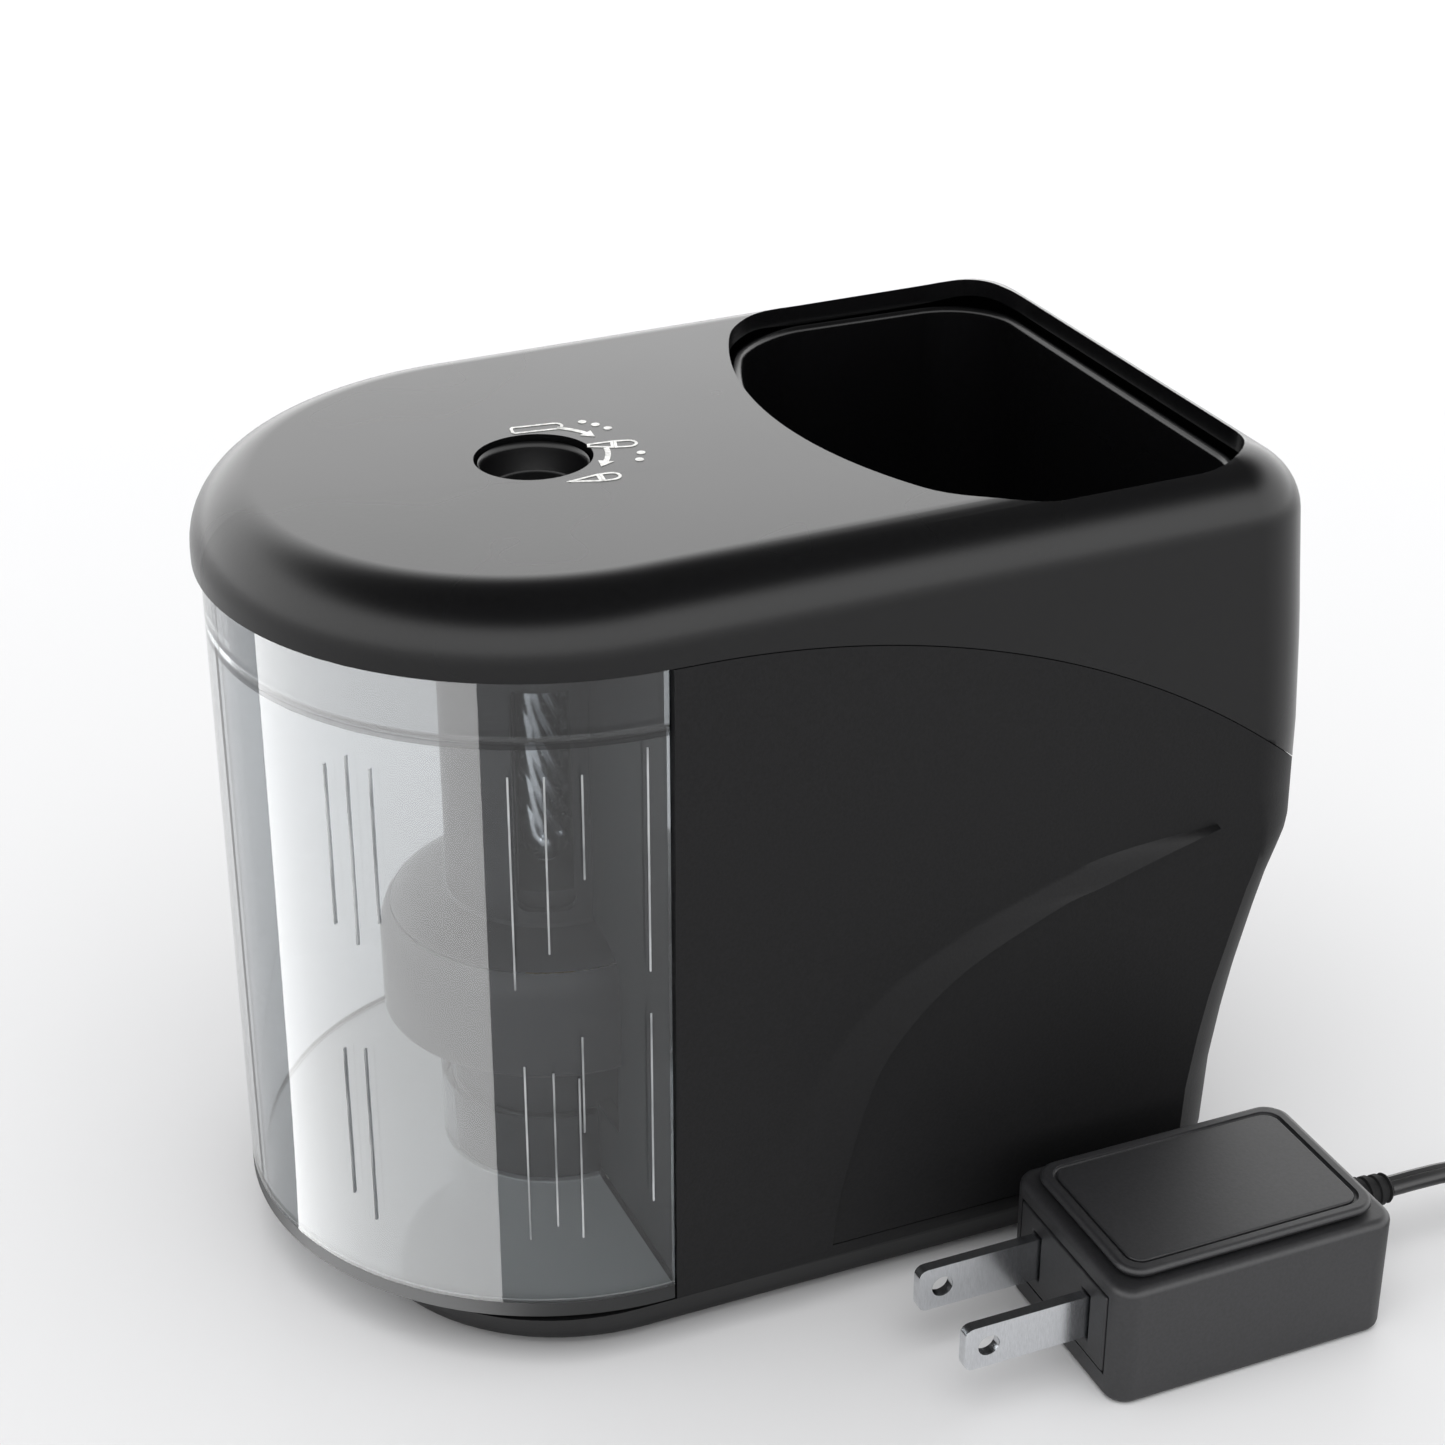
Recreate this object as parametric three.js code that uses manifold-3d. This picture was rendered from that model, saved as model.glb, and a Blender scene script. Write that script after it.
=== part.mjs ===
// Electric pencil sharpener with a pencil cup, a clear shavings bin, and its plug-in power adapter.
// Millimetres, +Z up. Inside the "axis" group x = y = 0 is the axis that the pencil goes in along,
// -X is the bin's end and +X the cup's end. The outer group moves that to the middle of the body.
import * as THREE from 'three';
import { mergeVertices } from 'three/addons/utils/BufferGeometryUtils.js';
import Module from 'manifold-3d';

const wasm = await Module();
wasm.setup();

// ---- Driving dimensions ----
const BIN_R = 42;                 // clear bin, outside
const BIN_WALL = 1.6;
const BIN_BOTTOM = 7.7;
const BIN_BAND = 90;              // where the bin's thicker upper band starts
const BIN_TOP = 98.1;
const CAP_R = 43;                 // half width of the cap
const CAP_TOP = 108.2;
const CAP_RISE = 2;               // how much the cap climbs towards the cup
const CAP_FILLET = 8;
const SHELL_WALL = 2.4;
const JOIN_X = 0.9;               // where bin and body meet
const REAR_X = 92.6;
const MIDDLE_X = (REAR_X - CAP_R) / 2;
const BASE_BOTTOM = 1.2;
const BASE_TOP_FRONT = 7.2;
const BASE_TOP_REAR = 9.1;
const GAP = 0.3;                  // clearance between neighbouring mouldings
const ARCH_R = 130;               // the arched seam between cap and body
const ARCH_X = 5;
const ARCH_TOP = 98.4;
const CUP_FRONT = 32.3;           // pencil cup opening
const CUP_FRONT_R = 65;
const CUP_HALF = 38.5;
const CUP_REAR = 84;
const CUP_FLOOR = 26;
const TOWER_R = 13.5;             // cutter tower
const TOWER_IN = 12.2;
const TOWER_TOP = 93;
const DRUM_R = 22.6;              // gearbox drum below it
const DRUM_BOTTOM = 31.4;
const DRUM_CEILING = 46.6;
const TOWER_FLOOR = 48.8;
const MOTOR_R = 11.9;
const CUTTER_AZIMUTH = THREE.MathUtils.degToRad(-110);
const CUTTER_R = 3.3;
const CUTTER_LOW = { r: 3.6, z: 56 };      // two points of the leaning cutter's axis
const CUTTER_HIGH = { r: 7.714, z: 88 };
const DRIVE_MODULE = 0.6;
const COUNTERSHAFT_X = 10.8;
const SUN_MODULE = 0.5143;        // ring gear of 42 teeth, planet of 12
const CORD_D = 3.2;
const ADAPTER = { x0: 46.8, x1: 87.8, y0: -75.6, y1: -47.1, top: 19.4 };
const CORD_Y = -60.6;
const CORD_Z = 9.7;
const COIL = { x: 138, y: -86.2, inner: 11.2, outer: 27.2, height: 6.4 };

const group = new THREE.Group();
const axis = new THREE.Group();
axis.position.x = -MIDDLE_X;
group.add(axis);

// ---- Finishes ----
function finish(color, roughness, metalness = 0, extra = {}) {
  return () => new THREE.MeshStandardMaterial({ color, roughness, metalness, ...extra });
}
const glossBlack = finish(0x1c1c1e, 0.28);
const satinBlack = finish(0x202022, 0.55);
const darkPlastic = finish(0x2c2c2f, 0.5);
const clearPlastic = finish(0xdfe3e6, 0.08, 0, { transparent: true, opacity: 0.35 });
const rubberBlack = finish(0x18181a, 0.85);
const brightSteel = finish(0xc9ccd0, 0.28, 1);
const zincSteel = finish(0x9a9da2, 0.4, 1);
const brassYellow = finish(0xc2a04e, 0.35, 1);
const whitePlastic = finish(0xe6e4dc, 0.5);
const boardGreen = finish(0x1f5a36, 0.6);

// ---- Making solids ----
function solid(geometry) {
  const bare = geometry.clone();
  bare.deleteAttribute('normal');
  bare.deleteAttribute('uv');
  const merged = mergeVertices(bare, 1e-4);
  return new wasm.Manifold(new wasm.Mesh({
    numProp: 3,
    vertProperties: new Float32Array(merged.attributes.position.array),
    triVerts: new Uint32Array(merged.index.array),
  }));
}

function geometryOf(manifold) {
  const mesh = manifold.getMesh();
  const geometry = new THREE.BufferGeometry();
  geometry.setAttribute('position', new THREE.BufferAttribute(new Float32Array(mesh.vertProperties), 3));
  geometry.setIndex(new THREE.BufferAttribute(new Uint32Array(mesh.triVerts), 1));
  geometry.computeVertexNormals();
  return geometry;
}

function add(name, shape, material, parent = axis) {
  const geometry = shape.isBufferGeometry ? shape : geometryOf(shape);
  const mesh = new THREE.Mesh(geometry, material());
  mesh.name = name;
  parent.add(mesh);
  return mesh;
}

function arc(cx, cy, r, fromDegrees, toDegrees, steps) {
  const points = [];
  for (let i = 0; i <= steps; i++) {
    const a = THREE.MathUtils.degToRad(fromDegrees + ((toDegrees - fromDegrees) * i) / steps);
    points.push(new THREE.Vector2(cx + r * Math.cos(a), cy + r * Math.sin(a)));
  }
  return points;
}

// A closed skin through outlines of equal point count, each { outline, z }, from the bottom up.
function loft(rings) {
  const count = rings[0].outline.length;
  const positions = [];
  const index = [];
  for (const { outline, z } of rings) {
    for (const p of outline) positions.push(p.x, p.y, z);
  }
  for (let k = 0; k + 1 < rings.length; k++) {
    for (let i = 0; i < count; i++) {
      const j = (i + 1) % count;
      const [a, b, c, d] = [k * count + i, k * count + j, (k + 1) * count + j, (k + 1) * count + i];
      index.push(a, b, c, a, c, d);
    }
  }
  const top = (rings.length - 1) * count;
  for (const [a, b, c] of THREE.ShapeUtils.triangulateShape(rings[0].outline, [])) index.push(c, b, a);
  for (const [a, b, c] of THREE.ShapeUtils.triangulateShape(rings[rings.length - 1].outline, [])) {
    index.push(top + a, top + b, top + c);
  }
  const geometry = new THREE.BufferGeometry();
  geometry.setAttribute('position', new THREE.Float32BufferAttribute(positions, 3));
  geometry.setIndex(index);
  return solid(geometry);
}

function prism(outline, z0, z1) {
  return loft([{ outline, z: z0 }, { outline, z: z1 }]);
}

function box(x0, x1, y0, y1, z0, z1) {
  return solid(new THREE.BoxGeometry(x1 - x0, y1 - y0, z1 - z0)
    .translate((x0 + x1) / 2, (y0 + y1) / 2, (z0 + z1) / 2));
}

function rod(x, y, r, z0, z1, sides = 20) {
  return solid(new THREE.CylinderGeometry(r, r, z1 - z0, sides)
    .rotateX(Math.PI / 2).translate(x, y, (z0 + z1) / 2));
}

function rodAlongX(x0, x1, y, z, r, sides = 20, rEnd = r) {
  return solid(new THREE.CylinderGeometry(rEnd, r, x1 - x0, sides)
    .rotateZ(-Math.PI / 2).translate((x0 + x1) / 2, y, z));
}

function turned(profile, sides = 24) {
  const points = profile.map(([r, z]) => new THREE.Vector2(r, z));
  return solid(new THREE.LatheGeometry(points, sides).rotateX(Math.PI / 2));
}

// A profile drawn in X and Z, extruded across Y.
function acrossY(points, y0, y1) {
  const shape = new THREE.Shape(points.map(([x, z]) => new THREE.Vector2(x, z)));
  const geometry = new THREE.ExtrudeGeometry(shape, { depth: y1 - y0, bevelEnabled: false });
  return solid(geometry.rotateX(Math.PI / 2).translate(0, y1, 0));
}

function gearOutline(teeth, module, { tip = 0.8, root = 1.1, width = 0.44, phase = 0, hollow = false }) {
  const pitch = (teeth * module) / 2;
  const sign = hollow ? -1 : 1;
  const points = [];
  for (let i = 0; i < teeth; i++) {
    const middle = phase + (i * 2 * Math.PI) / teeth;
    const half = (width * Math.PI) / teeth;
    for (const [offset, r] of [
      [-half * 1.5, pitch - sign * root * module], [-half * 0.55, pitch + sign * tip * module],
      [half * 0.55, pitch + sign * tip * module], [half * 1.5, pitch - sign * root * module],
    ]) {
      points.push(new THREE.Vector2(r * Math.cos(middle + offset), r * Math.sin(middle + offset)));
    }
  }
  return points;
}

// ---- The body's outer form ----
const REAR_PROFILE = [[0, 86.2], [9, 86.5], [20, 86.9], [28, 88], [35, 89.3], [44, 90.4], [50, 91.2],
  [56, 92.6], [64, 92.5], [72, 92.3], [86, 91.3], [100, 89.7], [112, 88.2]];

function between(table, z) {
  let i = 0;
  while (i + 2 < table.length && z > table[i + 1][0]) i++;
  const [[z0, v0], [z1, v1]] = [table[i], table[i + 1]];
  return v0 + ((v1 - v0) * (z - z0)) / (z1 - z0);
}

const rearAt = (z) => between(REAR_PROFILE, z);
const cornerAt = (z) => between([[0, 17], [40, 14], [57, 9], [112, 9]], z);
const halfAt = (z) => between([[0, 41.9], [8, 42], [90, CAP_R], [112, CAP_R]], z);

function tailOutline(half, rear, corner, front) {
  return [
    ...front,
    ...arc(rear - corner, corner - half, corner, -90, 0, 6),
    ...arc(rear - corner, half - corner, corner, 0, 90, 6),
  ];
}

function bodyRing(z, inset = 0, frontX = JOIN_X + GAP) {
  const half = halfAt(z) - inset;
  const front = [new THREE.Vector2(frontX, half), new THREE.Vector2(frontX, -half)];
  const outline = tailOutline(half, rearAt(z) - inset, Math.max(cornerAt(z) - inset, 2), front);
  return { outline, z };
}

function capRing(z, inset, shrink = 0) {
  const half = halfAt(z) - inset - shrink;
  const corner = Math.max(cornerAt(z) - inset - shrink * 0.4, 3);
  const outline = tailOutline(half, rearAt(z) - inset - shrink, corner, arc(0, 0, half, 90, 270, 24));
  return { outline, z };
}

// The cap's skin, with its rounded upper edge, climbing towards the cup.
function capForm(inset, bottom) {
  const top = CAP_TOP - inset;
  const fillet = CAP_FILLET - inset;
  const rings = [80, 92].filter((z) => z > bottom).map((z) => capRing(z, inset));
  rings.unshift(capRing(bottom, inset));
  for (let i = 0; i <= 4; i++) {
    const a = (i * Math.PI) / 8;
    const ring = capRing(top - fillet * (1 - Math.sin(a)), inset, fillet * (1 - Math.cos(a)));
    rings.push(ring);
  }
  return loft(rings).warp((v) => {
    const share = Math.min(Math.max((v[0] + 10) / 80, 0), 1);
    if (v[2] > 96) v[2] += (CAP_RISE * share * (v[2] - 96)) / 12;
  });
}

// Everything above the arched seam.
function aboveArch(lift) {
  const points = [[-60, 140], [-60, ARCH_TOP + lift], [ARCH_X, ARCH_TOP + lift]];
  for (let i = 1; i <= 10; i++) {
    const a = (i * 48 * Math.PI) / (10 * 180);
    points.push([ARCH_X + ARCH_R * Math.sin(a), ARCH_TOP + lift - ARCH_R * (1 - Math.cos(a))]);
  }
  points.push([120, 140]);
  return acrossY(points, -60, 60);
}

// Everything above the curved seam between base and body.
function aboveBase(lift) {
  const points = [[-60, 140], [-60, BASE_TOP_FRONT + lift], [8, BASE_TOP_FRONT + lift]];
  for (let i = 1; i <= 4; i++) {
    const t = i / 4;
    const climb = (BASE_TOP_REAR - BASE_TOP_FRONT) * t * t * (3 - 2 * t);
    points.push([8 + 12 * t, BASE_TOP_FRONT + climb + lift]);
  }
  points.push([120, BASE_TOP_REAR + lift], [120, 140]);
  return acrossY(points, -60, 60);
}

function cupOutline(inset) {
  const cx = CUP_FRONT + CUP_FRONT_R;
  const r = CUP_FRONT_R - inset;
  const half = CUP_HALF - inset;
  const rear = CUP_REAR - inset;
  const front = arc(cx, 0, r, 152.5, 207.5, 14);
  const corner = (end) => {
    const side = Math.sign(end.y) * half;
    return new THREE.QuadraticBezierCurve(end, new THREE.Vector2(end.x + 4, side),
      new THREE.Vector2(end.x + 13, side)).getPoints(6).slice(1);
  };
  return [
    ...front,
    ...corner(front[front.length - 1]),
    ...arc(rear - 11, 11 - half, 11, -90, 0, 7),
    ...arc(rear - 11, half - 11, 11, 0, 90, 7),
    ...corner(front[0]).reverse(),
  ];
}

// ---- Casings ----
const SCREWS = [[16, 33], [16, -33], [68, 33], [68, -33]];

function bodyShell() {
  const levels = [6, 20, 28, 44, 50, 56, 72, 104];
  let shell = loft(levels.map((z) => bodyRing(z)));
  shell = shell.subtract(loft([0, 28, 56, 110].map((z) => bodyRing(z, SHELL_WALL, -5))));
  for (const [x, y] of SCREWS) {
    shell = shell.add(rod(x, y + Math.sign(y) * 2.7, 5, 5, 20.4));
    shell = shell.subtract(rod(x, y, 1.5, 4, 20, 12));
  }
  shell = shell.subtract(rodAlongX(80, 96, 0, 14.5, 4.4));
  return shell.subtract(aboveArch(-GAP)).intersect(aboveBase(GAP));
}

function baseCover() {
  const ring = (half, front, rear, z) => ({
    outline: [
      ...arc(front + 29, half - 29, 29, 90, 180, 7), ...arc(front + 29, 29 - half, 29, 180, 270, 7),
      ...arc(rear - 16, 16 - half, 16, -90, 0, 5), ...arc(rear - 16, half - 16, 16, 0, 90, 5),
    ],
    z,
  });
  const outside = loft([ring(38.2, -29.8, 85.2, BASE_BOTTOM), ring(39.2, -30.8, 85.8, 2.6),
    ring(41.7, -33, 86.3, BASE_TOP_FRONT), ring(42, -33.2, 86.4, 12)]).subtract(aboveBase(0));
  const hollow = loft([ring(36.6, -28.2, 83.2, 3.2), ring(39.3, -30.6, 84, 20)]);
  let base = outside.subtract(hollow.subtract(box(-60, JOIN_X, -60, 60, 5.6, 30)));
  base = base.subtract(rod(0, 0, 12.6, 4, 12, 28));
  for (const [x, y] of SCREWS) {
    base = base.add(rod(x, y, 5, BASE_BOTTOM, 6.9).intersect(outside));
    base = base.subtract(rod(x, y, 1.9, 0, 8, 12)).subtract(rod(x, y, 3.2, 0, 3.4, 16));
  }
  return base;
}

function topCap() {
  const cap = capForm(0, 60).subtract(capForm(SHELL_WALL, 50)).intersect(aboveArch(0));
  return cap.subtract(rod(0, 0, 7.5, 90, 120, 28)).subtract(prism(cupOutline(0), 50, 130));
}

function pencilCup() {
  const cup = prism(cupOutline(GAP), CUP_FLOOR, 106);
  return cup.subtract(prism(cupOutline(GAP + 1.6), CUP_FLOOR + 2, 120));
}

function shavingsBin() {
  const half = (r) => [...arc(0, 0, r, 90, 270, 30), new THREE.Vector2(JOIN_X, -r), new THREE.Vector2(JOIN_X, r)];
  const open = (r) => [...arc(0, 0, r, 90, 270, 30), new THREE.Vector2(9, -r), new THREE.Vector2(9, r)];
  const inside = BIN_R - BIN_WALL;
  let bin = prism(half(BIN_R), BIN_BOTTOM, BIN_TOP);
  bin = bin.subtract(prism(open(inside), BIN_BOTTOM + 1.8, BIN_BAND));
  bin = bin.subtract(prism(open(inside - 1.1), BIN_BAND - 1, 120));
  const notchWall = rod(0, 0, 15.4, BIN_BOTTOM + 0.4, 20, 28).subtract(box(JOIN_X, 30, -30, 30, 0, 40));
  bin = bin.add(notchWall).add(box(-1.3, JOIN_X, 27, 35, BIN_BOTTOM + 0.4, 26));
  return bin.subtract(rod(0, 0, 14, 0, 40, 28)).subtract(box(0, 9, -14, 14, 0, 40));
}

add('base_cover', baseCover(), satinBlack);
add('body_shell', bodyShell(), satinBlack);
add('top_cap', topCap(), glossBlack);
add('pencil_cup', pencilCup(), glossBlack);
add('shavings_bin', shavingsBin(), clearPlastic);
add('inlet_bush', turned([[4.6, 98], [7.1, 98], [7.1, 102.6], [9.5, 102.6], [9.5, 105], [7.2, 105],
  [7.2, 107.9], [6.75, 108.1], [6.5, 104.2], [4.6, 103.2], [4.6, 98]]), glossBlack);

[[-17, 22], [-17, -22], [74, 24], [74, -24]].forEach(([x, y], i) => {
  add(`foot_${i + 1}`, rod(x, y, 5.5, 0, 1), rubberBlack);
});

SCREWS.forEach(([x, y], i) => {
  const screw = turned([[0, 1.6], [2.8, 1.6], [2.8, 3.2], [1.3, 3.2], [1.3, 15], [0, 16]], 12)
    .subtract(box(-1.9, 1.9, -0.4, 0.4, 0, 2.4)).subtract(box(-0.4, 0.4, -1.9, 1.9, 0, 2.4));
  add(`case_screw_${i + 1}`, geometryOf(screw).translate(x, y, 0), zincSteel);
});

// ---- Mechanism frame ----
function chassis() {
  let frame = turned([[0, DRUM_BOTTOM], [DRUM_R, DRUM_BOTTOM], [DRUM_R, 43], [21.9, 45.4], [20.2, 47.3],
    [17.8, 48.4], [TOWER_R, 48.9], [TOWER_R, TOWER_TOP], [0, TOWER_TOP]], 36);
  frame = frame.add(box(1.5, 3.5, -39.2, 39.2, 9.9, 97.6));
  frame = frame.subtract(rod(0, 0, 21.2, 0, DRUM_CEILING, 36));
  frame = frame.subtract(rod(0, 0, 5.6, 40, 60)).subtract(rod(0, 0, TOWER_IN, TOWER_FLOOR, 100, 28));
  const window = geometryOf(box(8, 20, -3.9, 3.9, 51, 83.5)).rotateZ(CUTTER_AZIMUTH);
  frame = frame.subtract(solid(window));
  return frame.subtract(rodAlongX(0, 6, 31, 18, 1.6, 16));
}

add('chassis', chassis(), darkPlastic);
add('gearbox_plate', turned([[3.4, 31.5], [20.9, 31.5], [20.9, 33], [3.4, 33], [3.4, 31.5]], 28), zincSteel);
add('motor_shroud', turned([[12.4, 7.5], [13.4, 7.5], [13.4, 31.1], [12.4, 31.1], [12.4, 7.5]], 28), darkPlastic);
add('motor_can', turned([[1.2, 7], [MOTOR_R, 7], [MOTOR_R, 30.6], [11.2, 31.2], [3, 31.2], [3, 32.4],
  [1.2, 32.4], [1.2, 7]], 24), zincSteel);
add('motor_end_cap', turned([[0, 4], [3.5, 4], [3.5, 5], [11.5, 5], [11.5, 6.8], [0, 6.8]], 24), whitePlastic);
add('motor_shaft', rod(0, 0, 1, 7.2, 38.1, 16), brightSteel);

// ---- Drive train ----
const spur = (teeth, z0, z1, bore, phase) => prism(gearOutline(teeth, DRIVE_MODULE, { phase }), z0, z1)
  .subtract(rod(0, 0, bore, z0 - 1, z1 + 1, 20));

add('motor_pinion', spur(10, 33.8, 38, 1.1, 0), brassYellow);
const largeGear = spur(26, 34.4, 37.4, 1.65, Math.PI - Math.PI / 26);
const smallGear = spur(12, 37.3, 42.4, 1.65, Math.PI - Math.PI / 12);
add('compound_gear', geometryOf(largeGear.add(smallGear)).translate(COUNTERSHAFT_X, 0, 0), whitePlastic);
add('countershaft', rod(COUNTERSHAFT_X, 0, 1.5, 33.1, 46.4, 16), brightSteel);
add('output_gear', spur(24, 38.7, 42.2, 3.5, 0), whitePlastic);
add('carrier_bush', turned([[3.5, 45.4], [7, 45.4], [7, 46.4], [5.4, 46.4], [5.4, 49.4], [3.5, 49.4],
  [3.5, 45.4]], 28), brassYellow);
const ringGear = rod(0, 0, 11.95, 85.5, 91, 36)
  .subtract(prism(gearOutline(42, SUN_MODULE, { tip: 0.75, root: 1.1, phase: CUTTER_AZIMUTH + Math.PI / 42,
    hollow: true }), 80, 95));
add('ring_gear', ringGear, brassYellow);

// ---- Cutter head: a carrier that turns about the pencil, and a helical cutter that leans in it ----
const lean = Math.atan2(CUTTER_HIGH.r - CUTTER_LOW.r, CUTTER_HIGH.z - CUTTER_LOW.z);
const cutterSeat = new THREE.Group();
cutterSeat.rotation.set(0, lean, CUTTER_AZIMUTH, 'ZYX');
cutterSeat.position.set(CUTTER_LOW.r * Math.cos(CUTTER_AZIMUTH), CUTTER_LOW.r * Math.sin(CUTTER_AZIMUTH),
  CUTTER_LOW.z);
axis.add(cutterSeat);
cutterSeat.updateMatrix();
const seated = (manifold) => solid(geometryOf(manifold).applyMatrix4(cutterSeat.matrix));

function carrier() {
  let head = rod(0, 0, 11.4, 50, 84.3, 28).add(rod(0, 0, 3.3, 38.4, 51, 24));
  head = head.subtract(turned([[0, 54], [0.9, 54], [4.7, 84], [5.2, 90], [0, 90]], 20));
  head = head.subtract(seated(rod(0, 0, CUTTER_R + 0.5, -2.1, 26.6, 20)));
  head = head.subtract(seated(rod(0, 0, 1.5, -4.6, 34, 16)));
  const mouth = seated(box(0, 14, -2.9, 2.9, -2.1, 26.6));
  return head.subtract(mouth);
}

function helicalCutter() {
  const flutes = 8;
  const levels = 16;
  const length = 27.4;
  const twist = THREE.MathUtils.degToRad(-250);
  const rings = [];
  for (let k = 0; k <= levels; k++) {
    const outline = [];
    for (let i = 0; i < flutes * 3; i++) {
      const step = i % 3;
      const r = CUTTER_R - [0, 0.25, 0.95][step];
      const a = (Math.floor(i / 3) * 2 * Math.PI) / flutes + [0, 0.32, 0.5][step] + (twist * k) / levels;
      outline.push(new THREE.Vector2(r * Math.cos(a), r * Math.sin(a)));
    }
    rings.push({ outline, z: -1.4 + (length * k) / levels });
  }
  return loft(rings).subtract(rod(0, 0, 1.3, -5, 40, 16));
}

add('carrier', carrier(), darkPlastic);
add('helical_cutter', helicalCutter(), brightSteel, cutterSeat);
add('cutter_shaft', rod(0, 0, 1.1, -4.2, 34.2, 16), zincSteel, cutterSeat);
const planet = prism(gearOutline(12, SUN_MODULE, { tip: 0.45, root: 1.1, width: 0.4 }), 30.5, 33.8)
  .subtract(rod(0, 0, 1.25, 29, 36, 16));
add('planet_gear', planet, brassYellow, cutterSeat);

// ---- Switches, board and power inlet ----
add('bin_switch', box(3.8, 8.6, 26, 36, 13, 23).subtract(rodAlongX(2, 7.4, 31, 18, 1.6, 16)), darkPlastic);
add('bin_switch_plunger', rodAlongX(JOIN_X + 0.35, 5.6, 31, 18, 1.2, 16), whitePlastic);
const LEVER_PIN = { x: 18, y: 9 };
const leverOutline = [[-2.6, -1.5], [-14.6, -7.6], [-14.2, -10.2], [-12.4, -10.6], [-1, -4.2], [4.6, -1.6],
  [5.2, 2.6], [2.6, 2.8], [-2.2, 2.2]].map(([x, y]) => new THREE.Vector2(x, y));
add('start_lever', geometryOf(prism(leverOutline, 95.2, 97.4).subtract(rod(0, 0, 1.35, 90, 100, 14)))
  .translate(LEVER_PIN.x, LEVER_PIN.y, 0), whitePlastic);
add('lever_bracket', box(3.8, 30, 3.5, 19, 93.2, 94.9), darkPlastic);
add('lever_pin', rod(LEVER_PIN.x, LEVER_PIN.y, 1.1, 95, 98.2, 14), brightSteel);
add('start_switch', box(19.5, 27.5, 12.9, 17.9, 95.1, 100), darkPlastic);
add('control_board', box(28, 72, -22, 22, 12.6, 14.2), boardGreen);
add('dc_jack', box(73, 83.6, -4.6, 4.6, 9.8, 19.8).add(rodAlongX(83, 86, 0, 14.5, 4))
  .subtract(rodAlongX(75, 90, 0, 14.5, 2.75)).add(rodAlongX(74, 84.5, 0, 14.5, 0.95, 12)), darkPlastic);

// ---- Power adapter beside the body ----
function roundedBox(x0, x1, y0, y1, z0, z1, r, edge) {
  const outline = (inset) => {
    const c = Math.max(r - inset, 0.4);
    return [
      ...arc(x0 + inset + c, y0 + inset + c, c, 180, 270, 4), ...arc(x1 - inset - c, y0 + inset + c, c, 270, 360, 4),
      ...arc(x1 - inset - c, y1 - inset - c, c, 0, 90, 4), ...arc(x0 + inset + c, y1 - inset - c, c, 90, 180, 4),
    ];
  };
  return loft([{ outline: outline(edge), z: z0 }, { outline: outline(0), z: z0 + edge },
    { outline: outline(0), z: z1 - edge }, { outline: outline(edge), z: z1 }]);
}

const { x0, x1, y0, y1, top } = ADAPTER;
const CASE_TOP = top - 1.6;
let adapterCase = roundedBox(x0, x1, y0, y1, 0, CASE_TOP, 3, 1);
adapterCase = adapterCase.subtract(box(x0 + 2.2, x1 - 2.2, y0 + 2.2, y1 - 2.2, 2, CASE_TOP - 2));
adapterCase = adapterCase.subtract(box(x0 + 3.4, x1 - 3.4, y0 + 3.4, y1 - 3.4, CASE_TOP - 3, 30));
adapterCase = adapterCase.subtract(box(x0 - 1, x0 + 1.4, y0 + 3, y1 - 3, 3.4, 15.6))
  .subtract(box(x0, x0 + 4, y0 + 5, y1 - 5, 5.4, 13.6));
adapterCase = adapterCase.subtract(rodAlongX(x1 - 4, x1 + 1, CORD_Y, CORD_Z, 2.1));
add('adapter_case', adapterCase, satinBlack);
const lid = roundedBox(x0 + 1.8, x1 - 1.8, y0 + 1.8, y1 - 1.8, CASE_TOP + GAP, top, 3, 0.5)
  .add(box(x0 + 3.8, x1 - 3.8, y0 + 3.8, y1 - 3.8, CASE_TOP - 2.4, CASE_TOP + 0.8));
add('adapter_lid', lid, satinBlack);
const BLADES = [CORD_Y + 5.9, CORD_Y - 6.8];
let face = box(x0 - 0.2, x0 + 1.2, y0 + 3.3, y1 - 3.3, 3.7, 15.3)
  .add(box(x0, x0 + 3.6, y0 + 5.3, y1 - 5.3, 5.7, 13.3));
for (const y of BLADES) face = face.subtract(box(x0 - 1, x0 + 5, y - 1.05, y + 1.05, 5.9, 12.9));
add('adapter_face', face, satinBlack);
BLADES.forEach((y, i) => {
  const blade = acrossY([[x0 + 3.4, 6.2], [x0 + 3.4, 12.6], [x0 - 16.4, 12.6], [x0 - 17.6, 11.4],
    [x0 - 17.6, 7.4], [x0 - 16.4, 6.2]].reverse(), y - 0.75, y + 0.75);
  const hole = solid(new THREE.CylinderGeometry(1.5, 1.5, 4, 16).translate(x0 - 14.2, y, 9.4));
  add(`adapter_blade_${i + 1}`, blade.subtract(hole), brightSteel);
});
add('adapter_board', box(x0 + 6, x1 - 7, y0 + 4.5, y1 - 4.5, 2.4, 4)
  .add(box(x0 + 12, x0 + 26, y0 + 6, y1 - 8, 3.9, 14)), boardGreen);
add('adapter_relief', rodAlongX(x1 - 2.4, x1 + GAP, CORD_Y, CORD_Z, 1.9)
  .add(rodAlongX(x1 + GAP, x1 + 9.2, CORD_Y, CORD_Z, 2.9, 20, 2)), rubberBlack);

// ---- Cord: from the adapter to a stored coil, and on to the barrel plug ----
const CORD_ROUTE = [[97.3, -60.6, 9.7], [101, -60.6, 9.7], [105, -60.6, 9.65], [109, -60.6, 9.4],
  [113, -60.6, 8.7], [117, -60.6, 7.4], [121, -60.6, 5.7], [125, -60.6, 4], [129, -60.6, 2.6], [134, -60.6, 1.8]];
const PLUG_ROUTE = [[152, -63.4, 4.8], [156, -66.2, 4.8], [160.2, -69.9, 4.8], [163.8, -74.2, 4.8],
  [166.4, -79, 4.8], [167.6, -84, 4.8], [167.8, -88, 4.8]];

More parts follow.
